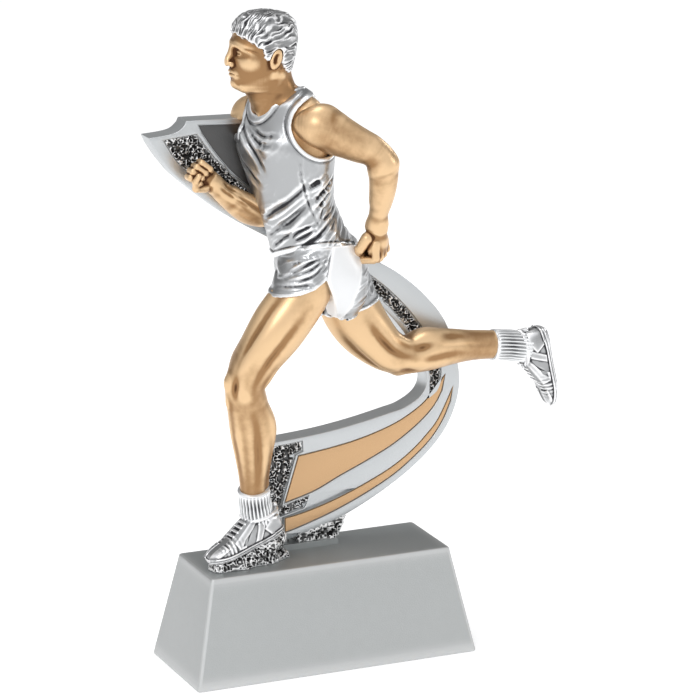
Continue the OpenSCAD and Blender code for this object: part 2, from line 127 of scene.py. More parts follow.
# ---- Base block
# A hollow casting in resin, a rectangle drawn in towards the top, sprayed with a sandy silver lacquer. Its
# arrises are slightly rounded by the mould and rubbed bright, the brighter tone partly real rubbing and partly
# a painted highlight.
def wash_and_painted_light():
    """Group: the antique finish. A dark wash stays where the surface lies below its surroundings, partly the
    real wash and partly painted shade, and edges are rubbed to a brighter tone, partly real rubbing and partly
    a painted highlight."""
    group = bpy.data.node_groups.new("antique_wash", "ShaderNodeTree")
    for name, kind in (("Colour", "NodeSocketColor"), ("WashAndShade", "NodeSocketColor"), ("RubAndHighlight", "NodeSocketColor"),
                       ("Reach", "NodeSocketFloat"), ("Satin", "NodeSocketFloat"),
                           ("Mottle", "NodeSocketFloat")):
        group.interface.new_socket(name, in_out="INPUT", socket_type=kind)
    for name, kind in (("Colour", "NodeSocketColor"), ("Roughness", "NodeSocketFloat")):
        group.interface.new_socket(name, in_out="OUTPUT", socket_type=kind)
    given = put(group, "NodeGroupInput").outputs
    hollow = put(group, "ShaderNodeAttribute", attribute_name="hollow")
    deep = put(group, "ShaderNodeMath", {0: hollow.outputs["Fac"], 1: given["Reach"]}, operation="DIVIDE")
    place = put(group, "ShaderNodeTexCoord")
    blotch = put(group, "ShaderNodeTexNoise", {"Vector": place.outputs["Object"], "Scale": 420, "Detail": 4})
    centred = put(group, "ShaderNodeMath", {0: blotch.outputs["Fac"], 1: 0.5}, operation="SUBTRACT")
    mottled = put(group, "ShaderNodeMath", {0: centred.outputs[0], 1: given["Mottle"], 2: deep.outputs[0]},
        operation="MULTIPLY_ADD").outputs[0]
    # dark is painted shade in the hollows on top of the real wash, and light is a painted highlight on raised
    # parts on top of real rubbing.
    dark = put(group, "ShaderNodeMapRange", {"Value": mottled, "From Min": 0.12, "From Max": 1.0},
        interpolation_type="SMOOTHSTEP").outputs[0]
    light = put(group, "ShaderNodeMapRange", {"Value": mottled, "From Min": -0.15, "From Max": -1.0},
        interpolation_type="SMOOTHSTEP").outputs[0]
    rubbed_and_highlit = put(group, "ShaderNodeMix", data_type="RGBA")
    washed_and_shaded = put(group, "ShaderNodeMix", data_type="RGBA")
    for mix, share, under, over in ((rubbed_and_highlit, light, given["Colour"], given["RubAndHighlight"]),
        (washed_and_shaded, dark, rubbed_and_highlit.outputs[2], given["WashAndShade"])):
        for key, value in ((0, share), (6, under), (7, over)):
            group.links.new(value, mix.inputs[key])
    dull = put(group, "ShaderNodeMath", {0: dark, 1: 0.3, 2: given["Satin"]}, operation="MULTIPLY_ADD")
    put(group, "NodeGroupOutput", {"Colour": washed_and_shaded.outputs[2], "Roughness": dull.outputs[0]})
    return group


antique = wash_and_painted_light()


def finish(name, colour, wash_and_shade, rub_and_highlight, reach=0.2, satin=0.35, metal=0.9, mottle=0.3, grain=0.3, grain_size=2600):
    """A lacquered metal finish: the antique wash group, whose dark hollows are partly painted shade and whose
    bright raised parts are partly painted highlight, and a fine cast grain from noise on object coordinates."""
    mat = bpy.data.materials.new(name)
    mat.use_nodes = True
    net = mat.node_tree
    shader = net.nodes["Principled BSDF"].inputs
    wash_node = put(net, "ShaderNodeGroup", node_tree=antique)
    for key, value in (("Colour", (*colour, 1)), ("WashAndShade", (*wash_and_shade, 1)), ("RubAndHighlight", (*rub_and_highlight, 1)), ("Reach", reach),
        ("Satin", satin), ("Mottle", mottle)):
        wash_node.inputs[key].default_value = value
    shader["Metallic"].default_value = metal
    place = put(net, "ShaderNodeTexCoord")
    grit = put(net, "ShaderNodeTexNoise", {"Vector": place.outputs["Object"], "Scale": grain_size, "Detail": 3})
    bump = put(net, "ShaderNodeBump", {"Height": grit.outputs["Fac"], "Strength": grain, "Distance": 0.0001})
    for key, value in (("Base Color", wash_node.outputs["Colour"]),
        ("Roughness", wash_node.outputs["Roughness"]), ("Normal", bump.outputs["Normal"])):
        net.links.new(value, shader[key])
    return mat


def hollows(points, faces):
    """How far each point lies below its surroundings, in millimetres: the average of the neighbours, taken
    again and again over a narrow and a wide reach, less the point, along the outward normal."""
    ends = np.concatenate([np.stack([f, np.roll(f, -1, 1)], -1).reshape(-1, 2) for f in faces])
    a, b = np.concatenate([ends[:, 0], ends[:, 1]]), np.concatenate([ends[:, 1], ends[:, 0]])
    count = np.maximum(np.bincount(a, minlength=len(points)), 1)
    normal = np.zeros_like(points)
    for f in faces:
        across = np.cross(points[f[:, 2]] - points[f[:, 0]], points[f[:, -1]] - points[f[:, 1]])
        for k in range(f.shape[1]):
            normal += np.stack([np.bincount(f[:, k], across[:, i], len(points)) for i in range(3)], -1)
    normal /= np.maximum(np.linalg.norm(normal, axis=1), 1e-12)[:, None]
    edge = np.median(np.linalg.norm(points[ends[:, 0]] - points[ends[:, 1]], axis=1))
    total, smooth, done = 0, points.copy(), 0
    for reach, share in ((0.45, 1.3), (1.3, 0.8)):
        rounds = int(np.clip(2 * (reach / edge) ** 2, 1, 50))
        for _ in range(rounds - done):
            smooth = np.stack([np.bincount(a, smooth[b, i], len(points)) for i in range(3)], -1) / count[:,
                None]
        done = max(done, rounds)
        total = total + share * ((smooth - points) * normal).sum(1)
    return total


def piece(name, points, faces, mat, slot, node, sharp=None, flat=False):
    """A mesh in millimetres becomes a named piece fixed to the award. faces is a list of arrays, one for each
    number of corners. A flat plate has its normals worked out again and takes no wash, and so no painted shade
    or highlight."""
    points = np.asarray(points, float).reshape(-1, 3)
    faces = [np.asarray(f, np.int64) for f in faces if len(f)]
    volume = 0
    for f in faces:
        for k in range(1, f.shape[1] - 1):
            volume += np.einsum("ij,ij->i", points[f[:, 0]], np.cross(points[f[:, k]],
                points[f[:, k + 1]])).sum()
    if volume < 0:
        faces = [f[:, ::-1] for f in faces]
    mesh = bpy.data.meshes.new(name)
    loops = np.concatenate([f.ravel() for f in faces])
    corners = np.concatenate([np.full(len(f), f.shape[1]) for f in faces])
    mesh.vertices.add(len(points))
    mesh.vertices.foreach_set("co", (points / 1000).ravel())
    mesh.loops.add(len(loops))
    mesh.loops.foreach_set("vertex_index", loops)
    mesh.polygons.add(len(corners))
    mesh.polygons.foreach_set("loop_start", np.concatenate([[0], np.cumsum(corners)[:-1]]))
    mesh.polygons.foreach_set("use_smooth", np.ones(len(corners), bool))
    mesh.update(calc_edges=True)
    if flat:
        work = bmesh.new()
        work.from_mesh(mesh)
        bmesh.ops.recalc_face_normals(work, faces=work.faces)
        work.to_mesh(mesh)
        work.free()
    else:
        # The hollow depth drives the wash in the material, and with it painted shade in hollows and a painted
        # highlight on raised parts.
        mesh.attributes.new("hollow", "FLOAT", "POINT").data.foreach_set("value", hollows(points, faces))
    if sharp:
        mesh.set_sharp_from_angle(angle=np.radians(sharp))
    mesh.materials.append(mat)
    obj = bpy.data.objects.new(name, mesh)
    scene.collection.objects.link(obj)
    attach(obj, "root")
    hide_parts(node)


def skin_of(rings):
    """Faces of a closed tube whose rings are rows of points, with a pole added at each end: the points, the
    four-sided and the three-sided faces."""
    m, n = rings.shape[:2]
    i, j = np.arange(m - 1)[:, None] * n, np.arange(n)[None]
    k = (j + 1) % n
    quads = np.stack([i + j, i + k, i + n + k, i + n + j], -1).reshape(-1, 4)
    row = np.arange(n)
    turn = (row + 1) % n
    last = (m - 1) * n
    fans = np.concatenate([np.stack([np.full(n, m * n), turn, row], -1),
                           np.stack([np.full(n, m * n + 1), last + row, last + turn], -1)])
    points = np.concatenate([rings.reshape(-1, 3), rings[:1].mean(1), rings[-1:].mean(1)])
    return points, quads, fans


def box_ring(x, y, z, corner, n=6):
    """A level rectangle 2x by 2y at height z whose corners are quarter circles of the radius corner."""
    w = np.radians(np.concatenate([np.linspace(q, q + 90, n) for q in (0, 90, 180, 270)]))
    quarter = np.repeat([0, 1, 2, 3], n)
    cx = np.choose(quarter, [1, -1, -1, 1]) * (x - corner)
    cy = np.choose(quarter, [1, 1, -1, -1]) * (y - corner)
    return np.stack([cx + corner * np.cos(w), cy + corner * np.sin(w), np.full(4 * n, z)], -1)


silver_lacquer = finish("silver_lacquer", (0.375, 0.393, 0.393), (0.20, 0.20, 0.20), (0.56, 0.57, 0.57),
                        reach=0.35, satin=0.46, metal=0.75, mottle=0.07, grain=0.8, grain_size=2600)
profile = [(44.4, 15.4, 1, 0.4), (44.8, 15.8, 0.6, 0.5), (45, 16, 0, 0.5), (49.3, 20.3, 0, 0.5),
    (49.8, 20.8, 0.15, 0.9), (50, 21, 0.6, 1.1)]
profile += [(50 - 7.3 * t, 21 - 5.85 * t, 0.6 + 34.9 * t, 1.1) for t in np.linspace(0.04, 1, 26)]
profile += [(42.55, 15.02, 35.82, 1.0), (42.3, 14.8, 35.95, 0.9), (41.9, 14.5, 36, 0.7), (38, 11, 36, 0.5),
    (20, 4, 36, 0.3)]
points, quads, fans = skin_of(np.stack([box_ring(*p) for p in profile]))
piece("base_block_cast", points, [quads, fans], silver_lacquer, "base_silver", "base_block", sharp=50)

# ---- Inside the base and under it
# Felt lies in the recess underneath. A pig-iron slab, two pan-head screws and their
# washers are inside the hollow, and hold the ribbon's foot.
felt = finish("black_felt", (0.03, 0.03, 0.035), (0.01, 0.01, 0.01), (0.05, 0.05, 0.055), satin=0.95, metal=0,
    grain=1, grain_size=5000)
iron = finish("grey_iron", (0.16, 0.16, 0.16), (0.05, 0.05, 0.05), (0.3, 0.3, 0.3), satin=0.6, metal=0.8,
    grain=0.8)
bright_steel = finish("bright_steel", (0.62, 0.62, 0.63), (0.25, 0.25, 0.25), (0.8, 0.8, 0.8), satin=0.28,
    metal=1, grain=0.05)
steel_parts = ("base_screws", "base_washers", "neck_dowel", "waist_dowel", "shoulder_dowels", "hip_dowels",
    "leg_rod", "ankle_dowel", "ribbon_dowels")
for node, mat in [("base_felt", felt), ("base_weight", iron)] + [(part, bright_steel)
    for part in steel_parts] + [("foot_plate", silver_lacquer)]:
    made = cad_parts[node]
    made.data.materials.clear()
    made.data.materials.append(mat)


# ---- Ribbon
# A flat hairpin cast in resin, 8 mm thick, sprayed satin silver. Fields are sunk 1 mm into its face and take
# the inlays, with a fine open step round each.
def curve(points, n):
    """Catmull-Rom curve through the rows of points, n steps to a span, the ends repeated."""
    p = np.asarray(points, float)
    p = np.concatenate([p[:1], p, p[-1:]])
    t = np.linspace(0, 1, n, endpoint=False)[:, None, None]
    a, b, c, d = p[:-3], p[1:-2], p[2:-1], p[3:]
    q = 0.5 * (2 * b + (c - a) * t + (2 * a - 5 * b + 4 * c - d) * t ** 2 + (3 * b - a - 3 * c + d) * t ** 3)
    return np.concatenate([q.transpose(1, 0, 2).reshape(-1, p.shape[1]), p[-1:]])


def drawn_in(outline, by):
    """A closed outline moved inwards by a distance: each corner goes along the sum of its two edge normals,
    divided by one plus their product."""
    p = np.asarray(outline, float)
    area = (p[:, 0] * np.roll(p[:, 1], -1) - np.roll(p[:, 0], -1) * p[:, 1]).sum()
    e = np.roll(p, -1, 0) - p
    e /= np.maximum(np.linalg.norm(e, axis=1), 1e-9)[:, None]
    n = np.stack([-e[:, 1], e[:, 0]], -1) * np.sign(area)
    m = np.roll(n, 1, 0)
    return p + by * (n + m) / np.maximum(1 + (n * m).sum(1), 0.45)[:, None]


def plate(outline, front, back, round_front, round_back, holes=()):
    """A flat plate across Y with rounded arrises: each outline is carried back through quarter-circle
    steps, and the faces are filled."""
    a = np.radians(np.linspace(90, 0, 4))
    steps = [(round_front * (1 - np.cos(w)), front + round_front * (1 - np.sin(w))) for w in a]
    steps += [(round_back * (1 - np.cos(w)), back - round_back * (1 - np.sin(w))) for w in a[::-1]]
    points, quads, rims, start = [], [], [[], []], 0
    for loop, sign in [(outline, 1)] + [(h, -1) for h in holes]:
        rows = np.stack([np.insert(drawn_in(loop, sign * d), 1, y, axis=1) for d, y in steps])
        m, n = rows.shape[:2]
        i, j = start + np.arange(m - 1)[:, None] * n, np.arange(n)[None]
        k = (j + 1) % n
        quads.append(np.stack([i + j, i + k, i + n + k, i + n + j], -1).reshape(-1, 4))
        points.append(rows.reshape(-1, 3))
        rims[0].append(start + np.arange(n))
        rims[1].append(start + (m - 1) * n + np.arange(n))
        start += m * n
    points = np.concatenate(points)
    caps = []
    for rim in rims:
        loops = [[Vector((points[i, 0], points[i, 2], 0)) for i in r] for r in rim]
        caps.append(np.concatenate(rim)[np.array(tessellate_polygon(loops))])
    return points, [np.concatenate(quads), np.concatenate(caps)]


outer_edge = np.concatenate([curve([[-17, 38], [-4, 40.6], [13.5, 46], [32.5, 56], [45.5, 66.5], [52.5, 77.5],
    [54.4, 90], [50, 106.8],
                                    [41.7, 118.2], [31, 127.5], [20, 134], [8, 144.5], [-2, 156.5], [-12, 170],
                                        [-21.5, 183.6]], 8),
                             [[-42.4, 184.2]], curve([[-43, 182.8], [-45.2, 181], [-48.5, 180.2],
                                 [-55.2, 179.7]], 4)])
inner_edge = np.concatenate([curve([[-54, 177], [-50.3, 171.4], [-44.4, 164.8], [-29.4, 152.6], [-16.5, 144.6],
    [-2, 136.5], [11, 128.6],
                                    [24, 117.8], [32.2, 108.8], [38.6, 99], [42, 91.6], [42.2, 87],
                                        [39.8, 83.4], [34.5, 80.5],
                                    [29, 79.2], [18, 77], [7.3, 75.4], [-2, 74.5], [-16.5, 73.6]], 8)])
ribbon_edge = np.concatenate([outer_edge, inner_edge])
gold_edge = np.concatenate([curve([[-4.2, 68.3], [7.3, 69.7], [18.1, 71.6], [29.1, 74.8], [36.4, 78.2],
    [42.6, 82.6], [49.4, 90.6]], 6),
                            curve([[48.2, 84.6], [45.7, 80.2], [41.9, 76.2], [36.4, 71.9], [29.1, 67.4],
                                [20, 63.2], [10.9, 59.4],
                                   [1.5, 55.2], [-9.3, 52.3]], 6)])
stripe_edge = np.concatenate([curve([[-9.2, 47.3], [-2.5, 48.4], [7.2, 51], [18.2, 55], [29.1, 60],
    [36.6, 64.9], [42.3, 70], [47, 75.6],
                                     [52.3, 86.2]], 6),
                              curve([[51.4, 80.6], [48.3, 73.9], [43.6, 67.7], [36.5, 61.6], [29.1, 56.6],
                                  [18.2, 51.2], [7.2, 46.8],
                                     [-3.6, 43.4], [-9.2, 42]], 6)])
tail_edge = np.array([[-14.8, 72.2], [-2.6, 73.2], [-2.4, 69.4], [-5, 68.6], [-10.2, 51.4], [0.6, 54.4],
    [-2, 49.9], [-10.6, 47.9], [-14.8, 52]])
band_edge = np.concatenate([[[-50.4, 178.6], [-38.8, 179.6]],
                            curve([[-36, 175.6], [-32.6, 171.2], [-28.2, 166.8], [-20, 158.6], [-8, 148.4],
                                [6, 138.8], [17.7, 130.3], [28.9, 121.2],
                                   [38.4, 110.6], [45, 100], [47.8, 92.6], [46.6, 86], [43.6, 83.2]], 6),
                            curve([[43.6, 87.6], [43.2, 92.2], [40, 99.8], [33.4, 109.9], [25, 119.2],
                                [12, 130], [-1.4, 138.4], [-15.6, 146.8],
                                   [-28.2, 155.2], [-42.4, 167.6], [-47.6, 174]], 6)])
# Outline of the dark panel at the top-left of the band; its dark colour is painted shade.
shaded_band_edge = np.concatenate([[[-23, 181.8], [-38.4, 182.6]],
                              curve([[-36.8, 179.2], [-33.6, 174.4], [-29.8, 169.4], [-25, 164.2], [-14, 155]],
                                  6), [[-8, 161.6]]])
satin_silver = finish("satin_silver", (0.56, 0.58, 0.59), (0.05, 0.05, 0.05), (0.82, 0.83, 0.84),
                      reach=0.25, satin=0.38, metal=0.85, mottle=0.25, grain=0.35, grain_size=1800)
ribbon_front, field_floor, ribbon_back, lap, line_gap = 3.5, 4.5, 11.5, 0.1, 0.35
back_points, back_faces = plate(ribbon_edge, field_floor, ribbon_back, 0.02, 0.5)
face_points, face_faces = plate(ribbon_edge, ribbon_front, field_floor + lap, 0.3, 0.02,
    [gold_edge, stripe_edge, tail_edge, band_edge, shaded_band_edge])
piece("ribbon_cast", np.concatenate([back_points, face_points]),
      [np.concatenate([f, g + len(back_points)]) for f, g in zip(back_faces, face_faces)],
      satin_silver, "ribbon_silver", "ribbon_frame", sharp=35, flat=True)

# ---- Inlays
# Two gold panels and one dark panel, each a thin casting glued into its field. The dark panel's colour is
# painted shade: that part of the band is darker only because the torso shades it and is reflected in it. A fine
# gap is left round each, which reads as an engraved line.
old_gold = finish("old_gold", (0.62, 0.395, 0.21), (0.10, 0.06, 0.03), (0.86, 0.62, 0.40), satin=0.42,
    metal=0.6, mottle=0.3, grain=0.5)
# This dark silver is painted shade and painted reflection, put where the torso shades the band and is reflected
# in it.
smoked = finish("smoked_silver", (0.105, 0.105, 0.105), (0.03, 0.03, 0.03), (0.5, 0.5, 0.5), satin=0.42,
    metal=0.85, mottle=0.9, grain=0.5)
for name, edge, front, mat, slot in (("gold_panel", gold_edge, 3.6, old_gold, "panel_gold"),
    ("gold_stripe", stripe_edge, 3.6, old_gold, "panel_gold"),
                                     ("smoked_panel", shaded_band_edge, 4.1, smoked, "smoked_silver")):
    piece(name + "_inlay", *plate(drawn_in(edge, line_gap), front, field_floor + lap, 0.15, 0.02), mat, slot,
        name, sharp=35, flat=True)


# ---- Hammered fields and rocks
# The tail, the band along the ribbon and the rocks underfoot carry a worm-eaten texture,
# cast in, sprayed black and dry-brushed with silver on its high parts.
class Clay:
    """A block of modelling stuff. d is the signed distance to its surface, in millimetres, on a cubic
    lattice, and x, y, z are the lattice's places."""

    def __init__(self, low, high, step):
        self.step = step
        self.start = np.floor(np.array(low) / step).astype(int)
        self.size = np.ceil((np.array(high) - low) / step).astype(int) + 1
        rows = [((s + np.arange(c)) * step).astype(np.float32) for s, c in zip(self.start, self.size)]
        self.x, self.y, self.z = rows[0][:, None, None], rows[1][None, :, None], rows[2][None, None, :]
        self.d = np.full(self.size, 12 * step, np.float32)

    def add(self, other, soft=0.01):
        """The union with another distance, its joint filled over the width soft."""
        h = np.clip(1 - np.abs(self.d - other) / soft, 0, None)
        self.d = np.minimum(self.d, other) - h * h * soft / 4

    def cut(self, other, soft=0.01):
        """What is left outside another distance, with the new edge rounded over the width soft."""
        h = np.clip(1 - np.abs(self.d + other) / soft, 0, None)
        self.d = np.maximum(self.d, -other) + h * h * soft / 4

    def tube(self, rings):
        """The distance to a closed tube of rings."""
        points, quads, fans = skin_of(rings)
        grid = openvdb.FloatGrid.createLevelSetFromPolygons(
            points.astype(np.float32), triangles=fans.astype(np.uint32), quads=quads.astype(np.uint32),
            transform=openvdb.createLinearTransform(voxelSize=self.step), halfWidth=12.0)
        out = np.zeros(self.size, np.float32)
        grid.copyToArray(out, ijk=tuple(int(s) for s in self.start))
        return out

    def crease(self, lines, reach=2.0, lip=0.35):
        """Folds pressed in along lines of points. Across a line the depth is a bell curve, with raised
        shoulders beside it, and it dies away at both ends."""
        index = np.nonzero(np.abs(self.d) < reach)
        spots = np.stack([np.broadcast_to(a, self.d.shape)[index] for a in (self.x, self.y, self.z)], -1)
        deep, raised = np.zeros(len(spots), np.float32), np.zeros(len(spots), np.float32)
        for line, width, depth in lines:
            p = curve(line, 5)
            close = ((spots > p.min(0) - 4 * width) & (spots < p.max(0) + 4 * width)).all(1)
            q = spots[close]
            best, along = np.full(len(q), 1e9), np.zeros(len(q))
            level, cell = self.d[index][close], np.round(p / self.step).astype(int) - self.start
            lift = self.d[tuple(np.clip(cell, 0, np.array(self.size) - 1).T)]
            for k in range(len(p) - 1):
                e = p[k + 1] - p[k]
                t = np.clip(((q - p[k]) @ e) / (e @ e), 0, 1)
                rise = level - lift[k] - t * (lift[k + 1] - lift[k])
                far = np.sqrt(np.clip(((q - p[k] - t[:, None] * e) ** 2).sum(1) - rise ** 2, 0, None))
                nearer = far < best
                best[nearer], along[nearer] = far[nearer], (k + t[nearer]) / (len(p) - 1)
            fade = depth * np.sin(np.pi * np.clip(along, 0.02, 0.98)) ** 0.8
            deep[close] = np.maximum(deep[close], fade * np.exp(-(best / width) ** 2))
            raised[close] = np.maximum(raised[close], fade * np.exp(-((best - 2 * width) / width) ** 2))
        self.d[index] += deep - lip * raised

    def mesh(self):
        """The surface where the distance is nothing, as points and four-sided faces."""
        grid = openvdb.FloatGrid(float(12 * self.step))
        self.d[[0, -1]] = self.d[:, [0, -1]] = self.d[:, :, [0, -1]] = self.step
        grid.copyFromArray(np.ascontiguousarray(self.d), ijk=tuple(int(s) for s in self.start))
        grid.transform = openvdb.createLinearTransform(voxelSize=self.step)
        points, quads = grid.convertToQuads(isovalue=0.0)
        return points.astype(float), [quads.astype(np.int64)]


def ball(at, centre, radii):
    """The distance to an ellipsoid: k(k - 1) / g, where k is the length of the place over the radii and g
    its length over their squares."""
    q = [a - c for a, c in zip(at, centre)]
    k = np.sqrt(sum((a / r) ** 2 for a, r in zip(q, radii)))
    return k * (k - 1) / np.maximum(np.sqrt(sum((a / r ** 2) ** 2 for a, r in zip(q, radii))), 1e-6)


def rod(at, a, b, ra, rb):
    """The distance to a round rod from a to b whose radius goes from ra to rb."""
    e = np.subtract(b, a)
    t = np.clip(sum((p - s) * d for p, s, d in zip(at, a, e)) / (e @ e), 0, 1)
    return np.sqrt(sum((p - s - t * d) ** 2 for p, s, d in zip(at, a, e))) - (ra + (rb - ra) * t)


def prism(at, outline):
    """The distance in one plane to a closed outline, below nothing inside it."""
    p = np.asarray(outline, np.float32)
    far, inside = 1e9, False
    for a, b in zip(p, np.roll(p, -1, 0)):
        e = b - a
        t = np.clip(((at[0] - a[0]) * e[0] + (at[1] - a[1]) * e[1]) / max(e @ e, 1e-9), 0, 1)
        far = np.minimum(far, (at[0] - a[0] - t * e[0]) ** 2 + (at[1] - a[1] - t * e[1]) ** 2)
        if a[1] != b[1]:
            inside = inside ^ (((at[1] < a[1]) != (at[1] < b[1]))
                & (at[0] < a[0] + (at[1] - a[1]) * e[0] / e[1]))
    return np.where(inside, -1, 1) * np.sqrt(far)


def lumps(at, size, seed):
    """Smooth random field from -1 to 1: random values on a lattice of the given spacing, blended across
    each cell by 3t^2 - 2t^3."""
    table = np.random.default_rng(seed).uniform(-1, 1, 4096).astype(np.float32)
    g = [np.asarray(a) / size for a in at]
    cell = [np.floor(a).astype(np.int64) for a in g]
    f = [a - c for a, c in zip(g, cell)]
    f = [t * t * (3 - 2 * t) for t in f]
    total = 0
    for i in (0, 1):
        for j in (0, 1):
            for k in (0, 1):
                key = ((cell[0] + i) * 73856093 ^ (cell[1] + j) * 19349663 ^ (cell[2] + k) * 83492791) & 4095
                total = total + table[key] * (f[0] if i else 1 - f[0]) * (f[1] if j else 1 - f[1]) * (f[2]
                    if k else 1 - f[2])
    return total


hammered = finish("hammered_black", (0.11, 0.11, 0.11), (0.008, 0.008, 0.008), (0.86, 0.86, 0.86),
                  reach=0.30, satin=0.36, metal=0.8, mottle=0.6, grain=0.3)
for name, edge, low, high in (("stipple_band", band_edge, (-52, 3.2, 81), (50, 5, 181)),
    ("stipple_panel", tail_edge, (-16, 3.2, 46), (2, 5, 75))):
    field = Clay(low, high, 0.27)
    worm = lumps((field.x, 0, field.z), 0.95, 3) + 0.5 * lumps((field.x, 0, field.z), 0.5, 4)
    high_part = np.exp(-(worm / 0.2) ** 2) + 0.35 * lumps((field.x, 0, field.z), 2.2, 5)
    field.d = np.maximum(prism((field.x, field.z), drawn_in(edge, 0.1)),
        np.maximum(4.35 - 0.7 * high_part - field.y, field.y - 4.75)).astype(np.float32)
    piece(name + "_cast", *field.mesh(), hammered, "hammered_black", name)
rock = Clay((-42, -12, 35.4), (-8, 6, 49), 0.27)
at = (rock.x, rock.y, rock.z)
ridge = [(-36, -6, 36.2, 2.6), (-29, -5.5, 37, 3.2), (-19, -4, 41, 3.6), (-14.5, -2, 43.2, 3.2)]
for a, b in zip(ridge[:-1], ridge[1:]):
    rock.add(rod(at, a[:3], b[:3], a[3], b[3]), 2.0)
    rock.add(rod(at, (*a[:2], 36), (*b[:2], 36), 3.9, 3.9), 2.0)
rock.d += 0.3 - 0.55 * np.exp(-(lumps(at, 0.8, 8) / 0.25) ** 2) + 0.5 * lumps(at, 2.5, 9)
base_top, plate_top = 36, 38
rock.cut(rock.z - base_top - 0.02)
piece("rock_mound_cast", *rock.mesh(), hammered, "hammered_black", "rock_mound")
rock = Clay((-6, 3.2, 37), (22, 12, 55), 0.27)
at = (rock.x, rock.y, rock.z)
under = [[-4, 37.9], [9.4, 37.9], [13, 45.6], [6, 44], [-4, 41]]
rock.d = np.maximum(prism((rock.x, rock.z), under), np.abs(rock.y - 7.5) - 3.7).astype(np.float32)
rock.d += 0.1 - 0.45 * np.exp(-(lumps(at, 0.8, 8) / 0.25) ** 2) + 0.4 * lumps(at, 2.5, 9)
rock.cut(rock.z - plate_top)
piece("ribbon_rock_cast", *rock.mesh(), hammered, "hammered_black", "ribbon_rock")


# ---- Runner: the skin of head, neck and chest
# The runner is cast in resin in several pieces and doweled together. Skin is sprayed a gold bronze, and a brown
# wash is wiped off the high parts; the brown in the hollows is partly that wash and partly painted shade, and
# the bright high parts are partly painted highlight. The face is a plain, calm one.
def trunk(stations, grow=0.0, n=96, steps=8):
    """Rings of the body: an ellipse with one depth in front and another behind, turned about the upright by
    twist and leant by lean."""
    s = curve(stations, steps)
    w = np.linspace(0, 2 * np.pi, n, endpoint=False)
    tw, ln = np.radians(s[:, 6]), np.radians(s[:, 7])
    u = np.stack([-np.sin(tw), np.cos(tw), 0 * tw], -1)
    v = np.stack([-np.cos(tw) * np.cos(ln), -np.sin(tw) * np.cos(ln), -np.sin(ln)], -1)
    depth = np.where(np.sin(w)[None] > 0, s[:, 4:5], s[:, 5:6]) + grow
    return s[:, None, :3] + u[:, None] * ((s[:, 3:4] + grow) * np.cos(w))[..., None] + v[:, None] * (depth
        * np.sin(w))[..., None]


def limb(stations, side=(0, 1, 0), n=64, steps=8, muscles=()):
    """Rings of a limb: ellipses across a curve. Each muscle (station, angle, length, width, height) adds a
    bell-shaped rise."""
    s = curve(stations, steps)
    along = np.linspace(0, len(stations) - 1, len(s))
    t = np.gradient(s[:, :3], axis=0)
    t /= np.linalg.norm(t, axis=1)[:, None]
    v = np.cross(t, np.asarray(side, float))
    v /= np.linalg.norm(v, axis=1)[:, None]
    u = np.cross(v, t)
    w = np.linspace(0, 2 * np.pi, n, endpoint=False)
    rise = sum((h * np.exp(-((along[:, None] - a) / la) ** 2
        - (((np.degrees(w)[None] - c + 180) % 360 - 180) / wc) ** 2)
                for a, c, la, wc, h in muscles), np.zeros((len(s), n)))
    a, b = s[:, 3:4] + rise, s[:, 4:5] + rise
    return s[:, None, :3] + u[:, None] * (a * np.cos(w))[..., None] + v[:, None] * (b * np.sin(w))[..., None]


torso = [[-2.5, -6.5, 139.6, 15.4, 13.4, 14.4, -2, 4], [-5.5, -6.5, 147, 14.2, 11.8, 12.2, 4, 8],
    [-8.5, -6.5, 155.5, 13.6, 11.4, 11.2, 12, 12],
         [-10.2, -6.5, 164, 15, 12.2, 11.6, 20, 14], [-11.6, -6.5, 173, 17, 12.6, 12, 26, 16],
             [-12.8, -6.5, 181, 17.6, 11.6, 11.4, 28, 18],
         [-14.2, -6.8, 188, 14.6, 9, 9.4, 28, 20], [-15.6, -7, 192.4, 9.4, 6.6, 7, 26, 22]]
head_at = (-20, -7, 208.5)
skull = [[-25, 6.4, 6.8, 6.4], [-15.5, 6.3, 7, 6.4], [-13, 6.8, 9.6, 6.8], [-9, 7.8, 10.4, 7.6],
    [-4, 8.3, 10.4, 9], [2, 8.8, 10.2, 10],
         [6.4, 8.4, 9, 9.4], [9.4, 5.8, 6, 6.6], [10.6, 1.5, 1.5, 1.5]]


def skull_rings(grow=0.0):
    """Rings of the head, an egg-shaped section at each height, turned six degrees and leaning back into the
    neck."""
    s = curve(skull, 6)
    rows = np.stack([head_at[0] - 0.4 * np.minimum(0, s[:, 0] + 12), np.full(len(s), head_at[1]), head_at[2]
        + s[:, 0] + np.where(s[:, 0] > 6, grow, 0),
                     s[:, 1], s[:, 2], s[:, 3], np.full(len(s), -6.0), 0 * s[:, 0]], -1)
    return trunk(rows, grow, n=72, steps=1)


def shoulders(clay, grow):
    """The upper body: the trunk, with the slope of each shoulder filled from the neck outwards and the
    chest raised on both sides."""
    at = (clay.x, clay.y, clay.z)
    clay.add(clay.tube(trunk(torso, grow)))
    clay.add(rod(at, (-12.4, -11.2, 191.2), (-8.4, -17.0, 189.0), 3.2 + grow, 3.7 + grow), 6)
    clay.add(rod(at, (-16, -2.5, 194), (-20, 3.5, 186.6), 3.2 + grow, 3.4 + grow), 3.5)
    clay.add(ball(at, (-15.4, -12.2, 176.6), (7 + grow, 6.6 + grow, 6 + grow)), 4)
    clay.add(ball(at, (-19.4, -2.6, 177.2), (6.6 + grow, 6.6 + grow, 6 + grow)), 4)


def from_head(clay):
    """Places as seen from the middle of the head, turned six degrees: how far forward, to the side, and up."""
    x, y, six = clay.x - head_at[0], clay.y - head_at[1], np.radians(6)
    return -x * np.cos(six) + y * np.sin(six), x * np.sin(six) + y * np.cos(six), clay.z - head_at[2]


